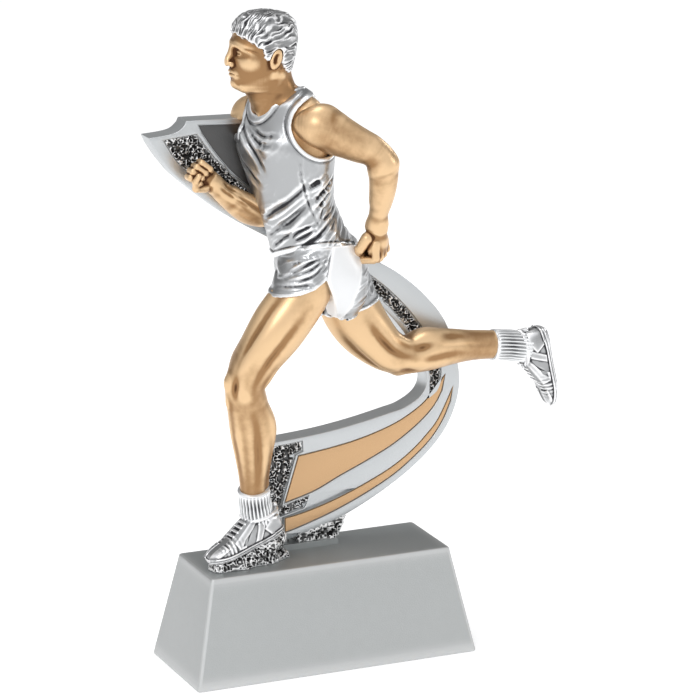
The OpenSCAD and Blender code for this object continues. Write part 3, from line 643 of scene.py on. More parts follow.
# The brown wash in the skin's hollows is partly painted shade, and the bright rub on its raised parts is partly
# a painted highlight.
bronze = finish("skin_bronze", (0.34, 0.188, 0.082), (0.10, 0.038, 0.012), (0.78, 0.54, 0.31), reach=0.19,
    satin=0.36, metal=0.74, mottle=0.4, grain=0.12)
skin = Clay((-32.5, -22.5, 168), (2, 10, 221), 0.251)
shoulders(skin, -0.9)
skin.add(skin.tube(skull_rings()), 2.2)
F, L, K = from_head(skin)
A = np.sqrt(L * L + 0.01)
skin.add(rod((F, A, K), (-1.2, 6.3, -7.2), (7.2, 2.6, -12.2), 1.5, 1.5), 1.6)
skin.add(rod((F, A, K), (-1.4, 7.0, -3.5), (-1.2, 6.4, -8.0), 1.3, 1.3), 1.6)
skin.add(ball((F, A, K), (5.3, 4.7, -3.9), (2.9, 2.7, 2.6)), 3.0)
skin.add(ball((F + 0.05 * A * A, A, K + 0.06 * (A - 2.8) ** 2), (9.0, 2.9, 1.25), (1.5, 2.8, 0.75)), 2.4)
skin.cut(ball((F, A, K), (11.2, 3.3, -0.9), (2.0, 2.3, 1.3)), 1.4)
skin.add(ball((F, A, K), (7.75, 3.2, -1.1), (1.7, 1.7, 1.5)), 0.15)
lid = ball((F, A, K), (7.75, 3.2, -1.1), (1.92, 2.3, 1.72))
gap = np.abs(K + 1.2) - 0.5 * (1 - ((A - 3.2) / 1.75) ** 2)
skin.add(np.maximum(lid, -0.8 * gap), 0.45)
skin.add(rod((F, L, K), (9.6, 0, 0.8), (12.1, 0, -4.1), 0.95, 1.1), 1.6)
skin.add(ball((F, L, K), (12.2, 0, -4.6), (1.25, 1.15, 1.05)), 0.7)
skin.add(ball((F, A, K), (11.0, 1.35, -4.95), (1.05, 0.75, 0.8)), 0.5)
skin.cut(ball((F, A, K), (11.7, 0.65, -5.75), (0.6, 0.32, 0.45)), 0.25)
skin.add(ball((F, L, K), (8.6, 0, -8.0), (2.5, 3.4, 2.8)), 1.6)
skin.add(ball((F, A, K + 0.06 * A * A), (10.6, 0.7, -7.25), (0.85, 1.6, 0.5)), 0.45)
skin.add(ball((F, L, K - 0.05 * A * A), (10.5, 0, -8.65), (0.95, 1.9, 0.65)), 0.5)
skin.cut(ball((F + 0.12 * A * A, L, K + 0.03 * A * A), (11.5, 0, -7.95), (1.1, 2.4, 0.12)), 0.4)
skin.cut(ball((F, L, K), (12.1, 0, -10.0), (1.1, 2.2, 0.6)), 1.6)
skin.add(ball((F, L, K), (8.7, 0, -11.5), (2.1, 2.4, 1.6)), 1.3)
lean = F + 1.6 + 0.25 * (K + 2.8)
skin.add(ball((lean, A, K), (0, 8.75, -2.8), (1.85, 0.9, 3.2)), 0.35)
skin.cut(ball((lean, A, K), (0.15, 9.7, -2.5), (1.2, 0.75, 2.2)), 0.2)
skin.add(ball((lean, A, K), (-0.5, 8.9, -2.6), (0.35, 0.5, 1.5)), 0.3)
skin.add(ball((lean, A, K), (1.5, 8.9, -3.2), (0.5, 0.6, 0.7)), 0.3)
skin.add(rod((F, A, K), (-3.2, 5.9, -8.5), (1.4, 1.0, -22.6), 1.4, 1.1), 1.8)
skin.add(rod((F, A, K), (-3.4, 1.5, -8), (-6.6, 2.5, -17.5), 4.2, 4.6), 2.5)
skin.cut(ball((F, L, K), (3.8, -0.3, -23.2), (1.5, 1.1, 1.5)), 1.6)
skin.add(ball((F, L, K), (3.2, 0, -16.2), (1.2, 0.8, 1.3)), 1.0)
skin.cut(skin.z - 169.5)
piece("head_and_chest", *skin.mesh(), bronze, "skin_bronze", "head")

# ---- Hair
# Short wavy hair, modelled in locks, silver with a dark wash left between them that is partly painted shade,
# and bright tops that are partly a painted highlight.
hair_silver = finish("hair_silver", (0.25, 0.253, 0.256), (0.035, 0.035, 0.04), (0.92, 0.92, 0.93), reach=0.24,
    satin=0.32, metal=0.8, mottle=0.4, grain=0.1)
hair = Clay((-33, -18, 197), (-6, 4, 222), 0.18)
at = (hair.x, hair.y, hair.z)
F, L, K = from_head(hair)
hair.add(hair.tube(skull_rings(0.75)))
over = 9.5 * np.arctan2(L, K + 5.0)
run = F - 0.35 * K
wave = 0.7 * lumps(at, 3.0, 21)
lock = 1 - 2 * np.abs(lumps(((run + wave) / 4.2, (over + 0.35 * run + 1.6 * wave) / 0.62, 0.15 * K), 1.0, 22))
fine = 1 - 2 * np.abs(lumps(((run + wave) / 3.2, (over + 0.35 * run + 1.6 * wave) / 0.40, 0.2 * K), 1.0, 23))
hair.d = hair.d - (0.24 * lock + 0.18 * fine + 0.18 * lumps(at, 2.2, 24)).astype(np.float32)
edge = -(0.58 * (hair.x + 29.5) + 0.82 * (hair.z - 213)) + 0.5 * lumps(at, 1.1, 25)
sideburn = ball((F, np.abs(L), K), (0.9, 8.3, 0.2), (1.7, 3.2, 3.2)) + 0.35 * lumps(at, 0.7, 26)
nape = ball((F, np.abs(L), K), (-6.2, 3.6, -3.6), (3.6, 5.2, 4.4)) + 0.4 * lumps(at, 0.8, 27)
hair.d = np.maximum(hair.d, np.minimum(np.minimum(edge, sideburn), nape) * 0.8).astype(np.float32)
lean = F + 1.6 + 0.25 * (K + 2.8)
hair.cut(ball((lean, np.abs(L), K), (-0.1, 9.2, -2.9), (2.2, 1.9, 3.5)), 0.3)
piece("hair_locks", *hair.mesh(), hair_silver, "hair_silver", "hair")

# ---- Vest
# A running vest, cast over the chest and hanging in folds from the shoulders and round the waist. Silver with a
# black wash, bound at the neck and armholes, and seamed at the side; the black in the folds is partly that wash
# and partly painted shade, and the bright ridges are partly a painted highlight.
cloth_silver = finish("cloth_silver", (0.42, 0.428, 0.436), (0.045, 0.045, 0.05), (0.90, 0.91, 0.92),
    reach=0.36, satin=0.29, metal=0.9, mottle=0.45, grain=0.08)
vest = Clay((-33, -28, 134), (14, 16, 200), 0.309)
at = (vest.x, vest.y, vest.z)
shoulders(vest, 0.15)
lower = [[-1.8, -6.3, 134.5, 15.8, 14.2, 15, -5, 3]] + torso
vest.add(vest.tube(trunk(lower, 0.15)), 0.5)
vest.crease([
    ([(-23.4, 1.3, 185.5), (-24.7, -3.7, 180.6), (-23.9, -9.2, 174.6), (-21.8, -12.9, 168.5)], 0.9, 0.65),
    ([(-24.1, -4.7, 183.2), (-23.0, -9, 181.2), (-21.4, -12.3, 180.2), (-17.6, -16.9, 180.6)], 0.7, 0.5),
    ([(-24.1, -4, 182.6), (-23.9, -7.5, 180), (-22.7, -11.1, 178), (-19.6, -15.5, 177.6)], 0.8, 0.55),
    ([(-25.4, 0.7, 177.9), (-25.0, -1, 171.1), (-23.8, -6.1, 167), (-22.0, -9.9, 164)], 1.0, 0.7),
    ([(-20.3, -5, 151), (-19.1, -11.6, 155.4), (-16.6, -16.9, 159.1), (-12.6, -20.6, 163.8),
        (-9.5, -20.4, 167.5)], 0.9, 0.7),
    ([(-18.6, -8, 147.6), (-17.6, -13, 150.6), (-15.6, -15.9, 152.5), (-13.3, -18.4, 155.7),
        (-10.4, -20.1, 158.9), (-7.4, -19.6, 162.5)], 1.1, 0.75),
    ([(-17.9, -4.2, 145.7), (-17.1, -13.0, 150.5), (-15.7, -16.1, 153.2)], 0.8, 0.5),
    ([(-14.3, -15.9, 147.1), (-12.5, -18.1, 149.9), (-7.4, -19.9, 152.3)], 0.55, 0.7),
    ([(-13.9, -16.5, 146.6), (-11.5, -18.6, 148.0), (-7.4, -20, 150.7)], 0.6, 0.8),
    ([(-16.6, -6.4, 142.6), (-16, -12.9, 146.9), (-14, -16.8, 149.7)], 0.6, 0.5),
    ([(-14.9, -16.2, 141.8), (-11.9, -18.6, 144.8), (-7.5, -20.2, 147.7), (-4, -19.9, 150.7),
        (-1.3, -18.1, 153.2), (1.2, -15, 156.5)], 0.8, 0.8),
    ([(-5.3, -20.5, 147.2), (-1.8, -19.3, 150.4), (-0.1, -17.3, 152.9)], 0.7, 0.65),
    ([(-10.9, -20.6, 164.3), (-8.1, -19.3, 166.6), (-6, -18, 169)], 0.7, 0.85),
    ([(-8.9, -20.5, 159.4), (-6.4, -19.2, 162.4), (-3.9, -18, 165.3), (-2, -16, 168)], 0.75, 0.95),
    ([(-7.6, -20, 157.0), (-5.4, -19.1, 159.8), (-3.2, -18.1, 162.6)], 0.55, 0.7),
    ([(-5.4, -19.9, 153.3), (-3, -19, 154.5), (0, -16, 157)], 0.5, 0.5),
    ([(1, -15, 160), (3, -9, 156), (5, -2, 151)], 1.0, 0.7), ([(2, -12, 168), (1, -4, 163), (0, 4, 157)], 1.1,
        0.7),
    ([(6, -13, 150), (8, -6, 147), (8, 2, 146)], 0.9, 0.7), ([(-2, 3, 176), (0, -4, 171), (1, -10, 172)], 1.0,
        0.6),
    ([(-18, 7, 148), (-12, 8.5, 152), (-5, 7, 157)], 0.9, 0.7),
        ([(-21, 6, 160), (-15, 9, 163), (-8, 8, 168)], 1.0, 0.7),
    ([(9, -10, 144.5), (10, -4, 142.5), (9, 3, 142)], 0.8, 0.6)])
drag, across = 0.6 * vest.x + 0.8 * vest.z, -0.8 * vest.x + 0.6 * vest.z
ripple = 1 - 2 * np.abs(lumps((drag / 6, across / 1.5, vest.y / 6), 1.0, 31))
lower_part = np.clip((168 - vest.z) / 12, 0.15, 1) * np.clip((12 + np.abs(vest.y + 4)) / 22, 0.3, 1)
scoop = np.sqrt(((vest.x + 14.8) / 9.8) ** 2 + ((vest.y + 7.0) / 6.3) ** 2)
scoop, drop = (scoop - 1) * 6.6, 183.6 + 0.55 * (vest.x + 22) - vest.z
scoop = np.maximum(scoop, drop) + np.clip(9 - np.abs(scoop - drop), 0, None) ** 2 / 36
hole = np.sqrt(((vest.x + 5.6) / 9.9) ** 2 + ((vest.z - 184.0) / 9.7) ** 2)
hole = np.maximum((hole - 1) * 9.6, vest.y + 11.5)
far_hole = np.sqrt(((vest.x + 20.0) / 7.6) ** 2 + ((vest.z - 184.5) / 9.2) ** 2)
far_hole = np.maximum((far_hole - 1) * 8.0, -1.0 - vest.y)
opening = np.minimum(np.minimum(scoop, hole), far_hole)
small = (0.07 * lumps(at, 4.0, 32) + 0.24 * ripple * lower_part) * np.clip((opening - 1.5) / 4, 0, 1)
vest.d -= small.astype(np.float32)
hem = vest.z - (136.5 - 0.02 * vest.x + 0.367 * np.maximum(-vest.y, 6))
band = np.clip((1.35 - opening) / 0.25, 0, 1) * 0.34 - 0.25 * np.exp(-((opening - 1.6) / 0.22) ** 2)
band = band + np.clip((1.9 - hem) / 0.25, 0, 1) * 0.30 - 0.3 * np.exp(-((hem - 2.2) / 0.25) ** 2)
vest.d -= band.astype(np.float32)
vest.crease([([(-13.1, -20.1, 174.9), (-13, -20.9, 168.3), (-12.4, -20.9, 166), (-10.3, -20.2, 159.2),
    (-6.4, -20, 150.8)], 0.36, 0.45),
             ([(-6.3, -20.1, 150.8), (-5.6, -19.6, 156.7), (-4, -18.3, 163.5), (-1.9, -16.9, 168.9),
                 (-0.8, -15.5, 174)], 0.36, 0.4)], 1.2, 0.05)
vest.cut(opening, 0.5)
vest.cut(hem, 0.3)
piece("vest_cast", *vest.mesh(), cloth_silver, "cloth_silver", "vest")

# ---- Shorts and their side panel
# Shorts with a high slit at the side. The cloth is pulled into arcs from the hip, washed black, and the side
# panel is left smooth and sprayed a pearly white. The black in the cloth's hollows is partly that wash and
# partly painted shade, the panel's grey hollows are painted shade, and the bright raised parts on both are
# partly a painted highlight.
pelvis = [[-0.5, -6, 122.5, 12.6, 9.6, 9.6, -14, 0], [-0.5, -6, 128, 15, 13.6, 13.4, -12, 0],
    [-1, -6.2, 134, 15.6, 14, 14.6, -8, 2], [-3.6, -6.5, 144, 14.6, 12.4, 13.6, -2, 4]]
left_short = [[-1, -12, 146, 9, 9], [-6.6, -13.2, 135, 10.4, 10.8], [-11.0, -13.5, 127, 9.9, 9.7],
    [-14.2, -13.3, 121, 9.8, 9.4]]
left_seat = [[1, -12, 146, 7, 7], [3, -13.2, 134, 9, 9.4], [4.2, -13, 126, 8, 8.4],
    [4.4, -12.4, 119.4, 4.6, 4.6]]
right_short = [[0, -2, 147, 8, 8], [8, -0.6, 128, 10, 10.6], [12.6, -1, 117, 9.6, 10],
    [15, -1.2, 111.6, 9.4, 9.8]]


def seat(clay, soft=2.5):
    """The shape of the shorts: the pelvis joined to the two legs and the near buttock."""
    clay.add(clay.tube(trunk(pelvis)))
    for part in (left_short, left_seat, right_short):
        clay.add(clay.tube(limb(part)), soft)


shorts = Clay((-29, -27, 108), (25, 15, 144.5), 0.27)
seat(shorts)
panel_edge = [[-5.4, 134.6], [-4.2, 139], [-2.4, 146], [7.6, 146], [8.6, 138], [7.0, 131.5], [4.6, 124.6],
    [2.6, 119.6], [0.6, 119.6], [-1.8, 126]]
leg_opening = [[-48, 120.5], [-20.2, 128.8], [-14, 130.1], [-9.5, 131.7], [-5.6, 134.4], [-2.8, 128.4],
    [0.2, 124.0], [2.1, 120.2], [2.4, 40], [-48, 40]]
opening = np.maximum(prism((shorts.x, shorts.z), leg_opening), shorts.y + 3)
far_hem = 0.22 * (shorts.x - 12) - 0.976 * (shorts.z - 119.4)
far_hem = np.where(shorts.x > 1.5, far_hem, -9)
at = (shorts.x, shorts.y, shorts.z)
drag, across = 0.93 * shorts.x + 0.36 * shorts.z, -0.36 * shorts.x + 0.93 * shorts.z
shorts.d -= (0.16 * (1 - 2 * np.abs(lumps((drag / 6, across / 1.3, shorts.y / 6), 1.0, 33)))).astype(np.float32)
shorts.crease([
    ([(-16.8, -18.6, 136.3), (-12.8, -20.9, 138.6), (-6.5, -21, 141.1)], 0.6, 0.75),
        ([(-15.4, -17.7, 139.1), (-10.3, -19, 140.1), (-6.8, -20.8, 142.1)], 0.8, 0.6),
    ([(-18.6, -17.2, 134.9), (-13.9, -21.1, 136.9), (-9.2, -22.5, 138.6), (-4.6, -21.2, 142.3)], 0.6, 0.7),
    ([(-15.8, -21, 133.9), (-10.1, -23.1, 136), (-6.3, -22.8, 139), (-3.8, -21.3, 143.1)], 0.6, 0.75),
    ([(-10.9, -23.3, 134.3), (-6.5, -23.2, 137.3), (-3.8, -21.7, 140.1), (-3, -21.2, 142.7)], 0.55, 0.75),
    ([(-19.6, -14, 132), (-15, -20.5, 132.6), (-10.5, -22.8, 133.6)], 0.6, 0.45),
        ([(-19, -8, 137), (-17.8, -14, 134.5)], 0.9, 0.5),
    ([(6, -18, 141), (10, -12, 134), (12, -4, 128)], 1.0, 0.6),
        ([(14, -8, 124), (15.5, 0, 127), (11, 7, 130)], 0.9, 0.7),
    ([(-15, 4, 138), (-8, 8, 134), (1, 9, 130)], 1.0, 0.8), ([(-14, 5, 132), (-6, 9, 128), (4, 9.6, 123)], 0.9,
        0.7)])
shorts.crease([([(-5.5, -24.5, 134.4), (-4.2, -23, 139), (-2.4, -21.4, 145)], 0.35, 0.5)], 1.3, 0.05)
shorts.d -= (0.22 * np.clip((1.3 - opening) / 0.3, 0, 1) + 0.45 * np.clip((1.0 + far_hem) / 0.2, 0, 1)
    * (far_hem > -3)).astype(np.float32)
shorts.cut(opening, 0.3)
shorts.cut(-far_hem, 0.2)
shorts.cut(shorts.z - 108.9)
shorts.cut(np.maximum(prism((shorts.x, shorts.z), panel_edge) + 0.5, shorts.y + 12.5), 0.1)
piece("shorts_cast", *shorts.mesh(), cloth_silver, "cloth_silver", "shorts")
# The grey in the panel's hollows is painted shade, and the white on its raised parts is a painted highlight.
pearl = finish("panel_pearl", (0.80, 0.81, 0.82), (0.5, 0.51, 0.52), (1, 1, 1), reach=0.6, satin=0.34,
    metal=0.22, mottle=0.1, grain=0.1)
panel = Clay((-8, -28, 117), (11, -10, 147), 0.25)
seat(panel)
panel.d -= 0.35
panel.cut(-prism((panel.x, panel.z), panel_edge), 0.7)
panel.cut((136.9 + 0.367 * np.maximum(-panel.y, 6)) - panel.z, 0.2)
piece("side_panel_cast", *panel.mesh(), pearl, "panel_pearl", "left_side_panel")

# ---- Legs
# Bare legs, bronze like the rest of the skin: the standing leg runs down to the rock and
# the trailing leg straight back. Each is a round casting with its muscles modelled on it.
left_leg = [[-4, -13, 139, 9, 9.6], [-10.6, -13.4, 127.6, 9.0, 9.0], [-18.1, -12.8, 117.6, 8.7, 8.9],
    [-25, -11.6, 107.4, 7.2, 7.4], [-28.4, -10.6, 99.6, 6.4, 6.6],
            [-27.6, -9.6, 92.6, 6.4, 6.6], [-25.4, -8.2, 84, 6.8, 7.2], [-24.2, -6.6, 74, 5.8, 6],
                [-23.6, -5.2, 65, 4.6, 4.8], [-23.3, -4.4, 60.5, 4.5, 4.7]]
right_leg = [[9, -0.8, 126, 9, 9.6], [13.4, -1, 116.8, 9, 9.6], [18.4, -1.8, 109.4, 8.2, 8.6],
    [24.6, -3.2, 103.4, 6.6, 7.2], [31.5, -3.6, 101, 6.6, 6.4],
             [39.5, -3.6, 101.6, 6.8, 6.8], [47.5, -3.6, 101.8, 5.8, 6], [55.5, -3.6, 101.3, 4.8, 4.9],
                 [65, -3.5, 100.6, 4.4, 4.6]]
thigh = [(2.4, 212, 0.9, 26, 0.6), (3.25, 318, 0.45, 26, 0.9), (3.1, 232, 0.5, 22, 0.5),
    (1.8, 268, 1.0, 20, 0.5), (2.4, 238, 0.9, 9, -0.35), (2.6, 175, 1.0, 12, -0.45),
         (2.2, 130, 0.9, 26, 0.5), (3.5, 128, 0.5, 12, 0.5), (3.5, 55, 0.5, 12, 0.5), (3.9, 90, 0.4, 26, -0.6)]
left_muscles = thigh + [(4.0, 270, 0.22, 17, 0.95), (4.05, 232, 0.3, 13, -0.6), (4.05, 308, 0.3, 13, -0.6),
    (4.7, 270, 0.3, 12, 0.55), (4.3, 200, 0.3, 20, 0.35),
                        (6.0, 128, 0.8, 26, 1.0), (6.1, 52, 0.8, 26, 1.0), (6.3, 90, 0.8, 9, -0.35),
                            (6.6, 272, 1.4, 12, 0.4), (6.4, 240, 1.1, 14, 0.3),
                        (6.6, 188, 1.1, 15, -0.5), (7.0, 160, 0.7, 12, 0.25), (8.3, 90, 0.8, 16, 0.55),
                            (8.3, 135, 0.8, 16, -0.45), (8.3, 45, 0.8, 16, -0.45)]
right_muscles = thigh + [(3.75, 270, 0.25, 20, 0.9), (3.9, 225, 0.3, 14, -0.5), (3.8, 90, 0.45, 30, 0.2),
    (4.3, 200, 0.4, 24, 0.35), (4.5, 150, 0.35, 14, -0.5),
                         (4.9, 112, 0.7, 32, 0.9), (4.9, 60, 0.7, 26, 0.8), (5.2, 272, 1.2, 13, 0.35),
                             (5.2, 190, 1.0, 16, -0.4), (5.9, 130, 0.5, 16, -0.35), (7.2, 90, 0.8, 18, 0.45)]
for name, stations, muscles in (("left_leg", left_leg, left_muscles), ("right_leg", right_leg, right_muscles)):
    points, quads, fans = skin_of(limb(stations, n=112, steps=26, muscles=muscles))
    piece(name + "_cast", points, [quads, fans], bronze, "skin_bronze", name)


# ---- Arms
# Bare arms, driven hard. The near arm swings back with its elbow out, the far one comes
# forward across the ribbon. Each is cast in one with its closed fist.
def joined(one, two, soft):
    """The union of two distances, the joint filled over the width soft."""
    return np.minimum(one, two) - np.clip(soft - np.abs(one - two), 0, None) ** 2 / (4 * soft)


def fist(clay, wrist, along, back, size=1.0):
    """A closed hand: a palm, four fingers bent in three joints, knuckles, a thumb folded across and a
    groove between each finger and the next."""
    a = np.array(along, float)
    a /= np.linalg.norm(a)
    b = np.array(back, float) - a * (np.array(back) @ a)
    b /= np.linalg.norm(b)
    c = np.cross(a, b)
    q = [clay.x - wrist[0], clay.y - wrist[1], clay.z - wrist[2]]
    at = [sum(p * e for p, e in zip(q, axis)) / size for axis in (a, b, c)]
    hand = ball(at, (4.6, 0.4, 0), (4.6, 2.7, 4.2))
    hand = joined(hand, rod(at, (-1.5, 0, 0), (3, 0.2, 0), 2.9, 3.0), 1.6)
    for k, (reach, drop) in enumerate(((8.0, 0.2), (8.5, 0), (8.2, 0.1), (7.5, 0.4))):
        z = 3.3 - 2.2 * k
        hand = joined(hand, rod(at, (3.0, 1.4, z * 0.8), (reach - 0.6, 1.9 - drop, z), 1.0, 1.25), 0.6)
        finger = rod(at, (reach, 1.2 - drop, z), (reach + 0.9, -2.6, z), 1.28, 1.2)
        finger = joined(finger, rod(at, (reach + 0.9, -2.6, z), (reach - 2.4, -4.0, z * 0.95), 1.2, 1.1), 0.3)
        finger = joined(finger, rod(at, (reach - 2.4, -4.0, z * 0.95), (reach - 4.0, -2.4, z * 0.9), 1.1, 1.0),
            0.3)
        hand = joined(hand, finger, 0.22)
    thumb = joined(rod(at, (1.6, -1.2, 3.4), (4.6, -2.6, 5.2), 1.9, 1.45),
        rod(at, (4.6, -2.6, 5.2), (7.4, -4.4, 3.6), 1.35, 1.15), 0.5)
    thumb = joined(thumb, rod(at, (7.4, -4.4, 3.6), (8.0, -5.3, 1.2), 1.15, 0.95), 0.4)
    hand = joined(hand, thumb, 0.4)
    clay.add(hand * size, 2.4 * size)


left_arm = [[-11, -14, 182.8, 4.6, 5.4], [-8.4, -18, 183.8, 6.2, 6.9], [-4, -21.5, 182.6, 6.2, 6.6],
    [3, -25.5, 179, 5.2, 5.4], [9.5, -28.6, 175.6, 4.6, 4.7],
            [12.0, -28.9, 171.4, 4.2, 4.2], [12.7, -27, 163.5, 4.1, 4.0], [12.6, -23.6, 155, 3.1, 3.1],
                [12.5, -21.8, 149.6, 2.8, 2.9]]
arm = Clay((-21, -36, 130), (21, -8, 194), 0.27)
at = (arm.x, arm.y, arm.z)
arm.add(arm.tube(limb(left_arm[:6], (0.6, 0.75, 0.25))))
arm.add(arm.tube(limb([[11.4, -28.4, 173.6, 2.4, 2.4]] + left_arm[5:], (0.6, 0.75, 0.25))), 1.8)
arm.add(ball(at, (11.6, -28.7, 172.2), (4.2, 4.2, 4.2)), 3.0)
arm.add(ball(at, (-5.5, -21.2, 184.6), (6.4, 4.6, 6.6)), 2.5)
arm.add(rod(at, (-3, -21, 178.6), (5.0, -25, 175.8), 3.2, 2.9), 2.5)
arm.add(rod(at, (-1, -24, 184.6), (7.5, -28, 178.4), 3.0, 2.8), 2.5)
arm.add(ball(at, (13.3, -29.9, 172.0), (2.4, 2.4, 2.6)), 2.0)
arm.add(rod(at, (10.8, -28.2, 168.8), (11.6, -25.2, 160), 2.7, 2.1), 2.5)
arm.add(rod(at, (13.8, -28, 167.5), (13.5, -24.6, 158.5), 2.4, 1.9), 2.2)
arm.add(ball(at, (13.8, -22.9, 151.8), (1.3, 1.3, 1.7)), 2.4)
fist(arm, (12.7, -21.4, 148.6), (0.08, 0.18, -1), (0.58, -0.81, 0), 1.08)
piece("left_arm_cast", *arm.mesh(), bronze, "skin_bronze", "left_arm")
right_arm = [[-13, 3.4, 158, 4.6, 4.6], [-15, 2.6, 152.4, 4.6, 4.6], [-22, 1.6, 153.6, 4.6, 4.5],
    [-29, 0, 158.6, 4, 3.8], [-35, -1.6, 163.8, 3, 3], [-37, -2, 165.6, 2.8, 2.9]]
arm = Clay((-56, -12, 146), (-8, 9, 184), 0.25)
at = (arm.x, arm.y, arm.z)
arm.add(arm.tube(limb(right_arm)))
arm.add(rod(at, (-18, -1.4, 154.6), (-28, -2.0, 160.0), 2.8, 2.2), 2.0)
arm.add(rod(at, (-18, -0.4, 151.6), (-27, -0.8, 156.0), 2.7, 2.0), 2.0)
arm.crease([([(-18, -4.6, 152.8), (-26, -4.6, 158.8), (-34, -4.6, 164.2)], 0.8, 0.3),
    ([(-24, -3.8, 156), (-31, -4, 160.8), (-36, -4.4, 165)], 0.7, 0.25),
            ([(-25, -4, 158.6), (-34, -4, 165.5)], 0.7, 0.25)])
fist(arm, (-36.6, -2.2, 165.4), (-0.80, -0.1, 0.60), (0.0, 1, 0), 0.9)
arm.cut(3.4 - arm.y)
piece("right_arm_cast", *arm.mesh(), bronze, "skin_bronze", "right_arm")
right_shoulder = [[-15, -2, 186, 4.6, 4.6], [-18, 2.4, 185.6, 5.6, 5.4], [-19.8, 6.4, 184, 5.8, 5.6],
    [-20, 7.4, 178, 5, 5]]
arm = Clay((-28, -8, 172), (-8, 15, 193), 0.3)
arm.add(arm.tube(limb(right_shoulder, (1, 0, 0))))
arm.cut(arm.z - 183)
piece("right_shoulder_cast", *arm.mesh(), bronze, "skin_bronze", "right_shoulder")

# ---- Socks
# Short ribbed socks with a turned top, silver with a dark wash between the ribs that is partly painted shade.
for name, stations in (("left_sock", [[-23.8, -5.3, 61.8, 5.0, 5.2], [-23.3, -4.6, 58.6, 4.9, 5.1],
    [-22.6, -4, 55, 4.9, 5.2],
                                      [-21.6, -3.5, 49.5, 5, 5.4]]),
                       ("right_sock", [[63.0, -3.5, 100.7, 4.9, 5.1], [66.5, -3.5, 100.3, 4.8, 5.0],
                           [71, -3.5, 99.6, 4.8, 5],
                                       [76, -3.5, 98.6, 4.9, 5.2]])):
    rings = limb(stations, n=208, steps=14)
    middle = rings.mean(1, keepdims=True)
    w = np.linspace(0, 2 * np.pi, 208, endpoint=False)
    rib = 0.25 * np.sign(np.cos(26 * w)) * np.abs(np.cos(26 * w)) ** 0.6
    outward = (rings - middle) / np.linalg.norm(rings - middle, axis=2, keepdims=True)
    down = np.linspace(0, 1, len(rings))[:, None, None]
    rings = rings + outward * (rib[None, :, None] * np.clip((down - 0.07) * 20, 0, 1) + 0.16
        * np.exp(-((down - 0.035) / 0.03) ** 2) + 0.15 * np.sin(down * 14 + 2 * np.cos(w)[None, :, None])
        * down)
    points, quads, fans = skin_of(rings)
    piece(name + "_cast", points, [quads, fans], cloth_silver, "cloth_silver", name)

# ---- Running shoes
# Cast separately and pushed over the ankles: a padded collar, five laces over the tongue, stitched overlays at
# the side and a layered sole. Silver, washed lightly; the dark in its hollows is partly that wash and partly
# painted shade, and its bright raised parts are partly a painted highlight.
sections = [[-0.3, 1.2, 3.6, 6.4], [0, 2.4, 2.2, 7.6], [1, 3.7, .6, 9.6], [4, 4.4, 0, 11], [9, 4.5, 0, 11.2],
    [13, 4.6, 0, 10], [17, 4.9, 0, 7.8], [21, 5, .1, 6], [24.6, 4.3, .6, 5],
            [26.8, 2.7, 1.2, 4.2], [27.6, 1, 2, 3.4]]
shoe_silver = finish("shoe_silver", (0.39, 0.396, 0.402), (0.06, 0.06, 0.065), (0.92, 0.92, 0.93), reach=0.20,
    satin=0.28, metal=0.85, mottle=0.25, grain=0.08)
shoe = Clay((-2, -7, -1.5), (30, 7, 13), 0.17)
s = curve(sections, 5)
w = np.linspace(0, 2 * np.pi, 72, endpoint=False)
cw, sw = np.cos(w), np.sin(w)
rings = np.stack([np.broadcast_to(s[:, :1], (len(s), 72)), s[:, 1:2] * np.sign(cw) * np.abs(cw) ** 0.7,
                  (s[:, 2:3] + s[:, 3:4]) / 2 + (s[:, 3:4] - s[:, 2:3]) / 2 * np.sign(sw) * np.abs(sw) ** 0.8],
                      -1)
body = shoe.tube(rings)
X, Y, Z = shoe.x, shoe.y, shoe.z
side = np.abs(Y)
sole_top = 2.5 + 0.9 * np.exp(-(X / 5.5) ** 2) + 0.5 * np.exp(-((X - 27) / 4) ** 2)
shoe.d = body + 0.25
shoe.add(np.maximum(body - 0.30, Z - sole_top), 0.12)
shoe.d += (0.28 * (np.exp(-((Z - sole_top + 0.85) / 0.16) ** 2) + np.exp(-((Z - 0.75) / 0.14) ** 2))
    * (np.abs(body) < 1.2)).astype(np.float32)
top = np.interp(X, [0, 4, 9, 13, 17, 21, 24.6], [9.6, 11, 11.2, 10, 7.8, 6, 5]).astype(np.float32)


def overlay(outline, rise=0.3):
    """A raised patch on both sides of the shoe, bounded by an outline in the side view."""
    inside = prism((X, Z), outline)
    return rise * np.clip(0.5 - inside / 0.25, 0, 1)


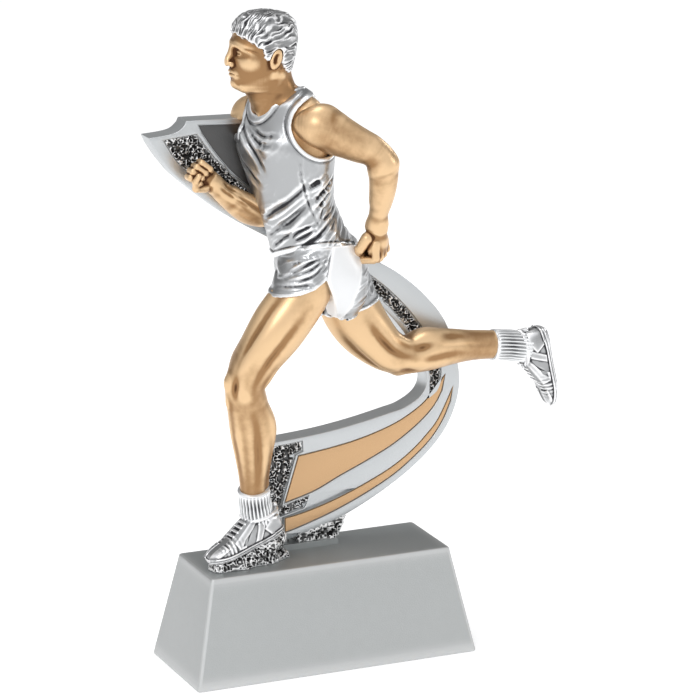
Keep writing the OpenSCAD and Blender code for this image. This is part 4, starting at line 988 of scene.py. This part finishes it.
patches = overlay([[21, 4.6], [25, 3.2], [28, 3], [28, 6], [22.5, 7.5]]) + overlay([[-1, 3], [5, 3.2],
    [7.2, 6.2], [3.4, 8.6], [-1, 8]])
patches = np.maximum(patches, overlay([[8.6, 10], [10.4, 10.4], [18.6, 5.8], [17.6, 3.0], [15.0, 2.8],
    [13.4, 6.0]]))
patches = np.maximum(patches, overlay([[5.6, 9.0], [8.6, 8.6], [11.2, 3.0], [8.8, 2.9]])) - overlay([[11.4,
    7.6], [14.8, 5.6], [16.2, 3.8], [14.6, 3.8]], 0.22)
shoe.d -= (patches * (side > 1.2) * (Z > 2.2)).astype(np.float32)
tongue = np.maximum(side - 1.7, np.abs(Z - top) - 1.5)
shoe.d += (0.45 * np.clip(0.5 - tongue / 0.3, 0, 1) * ((X > 9.5) & (X < 18.4))).astype(np.float32)
for k in range(5):
    x = 10.8 + 1.65 * k
    z = float(np.interp(x, [9, 13, 17, 21], [11.2, 10, 7.8, 6]))
    shoe.add(rod((X, Y, Z), (x, -2.0, z - 0.55), (x, 2.0, z - 0.55), 0.55, 0.55) + 0.05 * side, 0.25)
shoe.add(rod((X, Y, Z), (10.2, -0.2, 11.0), (11.6, -2.2, 11.2), 0.5, 0.4), 0.3)
shoe.add(rod((X, Y, Z), (10.2, 0.2, 11.0), (11.8, 2.0, 11.1), 0.5, 0.4), 0.3)
collar = np.sqrt(((X - 5.6) / 5.9) ** 2 + (Y / 4.3) ** 2)
shoe.cut(np.maximum((collar - 0.92) * 4.5, 8.6 - Z), 0.3)
shoe.add(np.sqrt(((collar - 0.98) * 4.7) ** 2 + (Z - 9.5 - 0.02 * X) ** 2) - 0.72, 0.4)
shoe.add(rod((X, Y, Z), (-0.1, 0, 7.4), (-0.5, 0, 10.8), 1.1, 0.8), 0.4)
shoe.d -= (0.12 * np.cos(X * 4.6) * np.exp(-((X - 20) / 2.6) ** 2) * (Z > 2.8)
    * (side > 1.4)).astype(np.float32)
shoe.d = np.maximum(shoe.d, -Z).astype(np.float32)
shoe.d += (0.3 * (np.cos(X * 2.4) > 0.55) * (Z < 0.5)).astype(np.float32)
points, faces = shoe.mesh()


def turned(points, degrees, axis):
    """Points turned about one axis through the origin."""
    a = np.radians(degrees)
    i, j = [(1, 2), (2, 0), (0, 1)][axis]
    moved = points.copy()
    moved[:, i] = points[:, i] * np.cos(a) - points[:, j] * np.sin(a)
    moved[:, j] = points[:, i] * np.sin(a) + points[:, j] * np.cos(a)
    return moved


piece("left_shoe_cast", turned(turned(points, 15, 1), 187, 2) + (-13.4, -3.2, 44.6), faces, shoe_silver,
    "shoe_silver", "left_shoe")
piece("right_shoe_cast", turned(turned(points, 180, 0), 80, 1) + (82.8, -3.5, 105.4), faces, shoe_silver,
    "shoe_silver", "right_shoe")
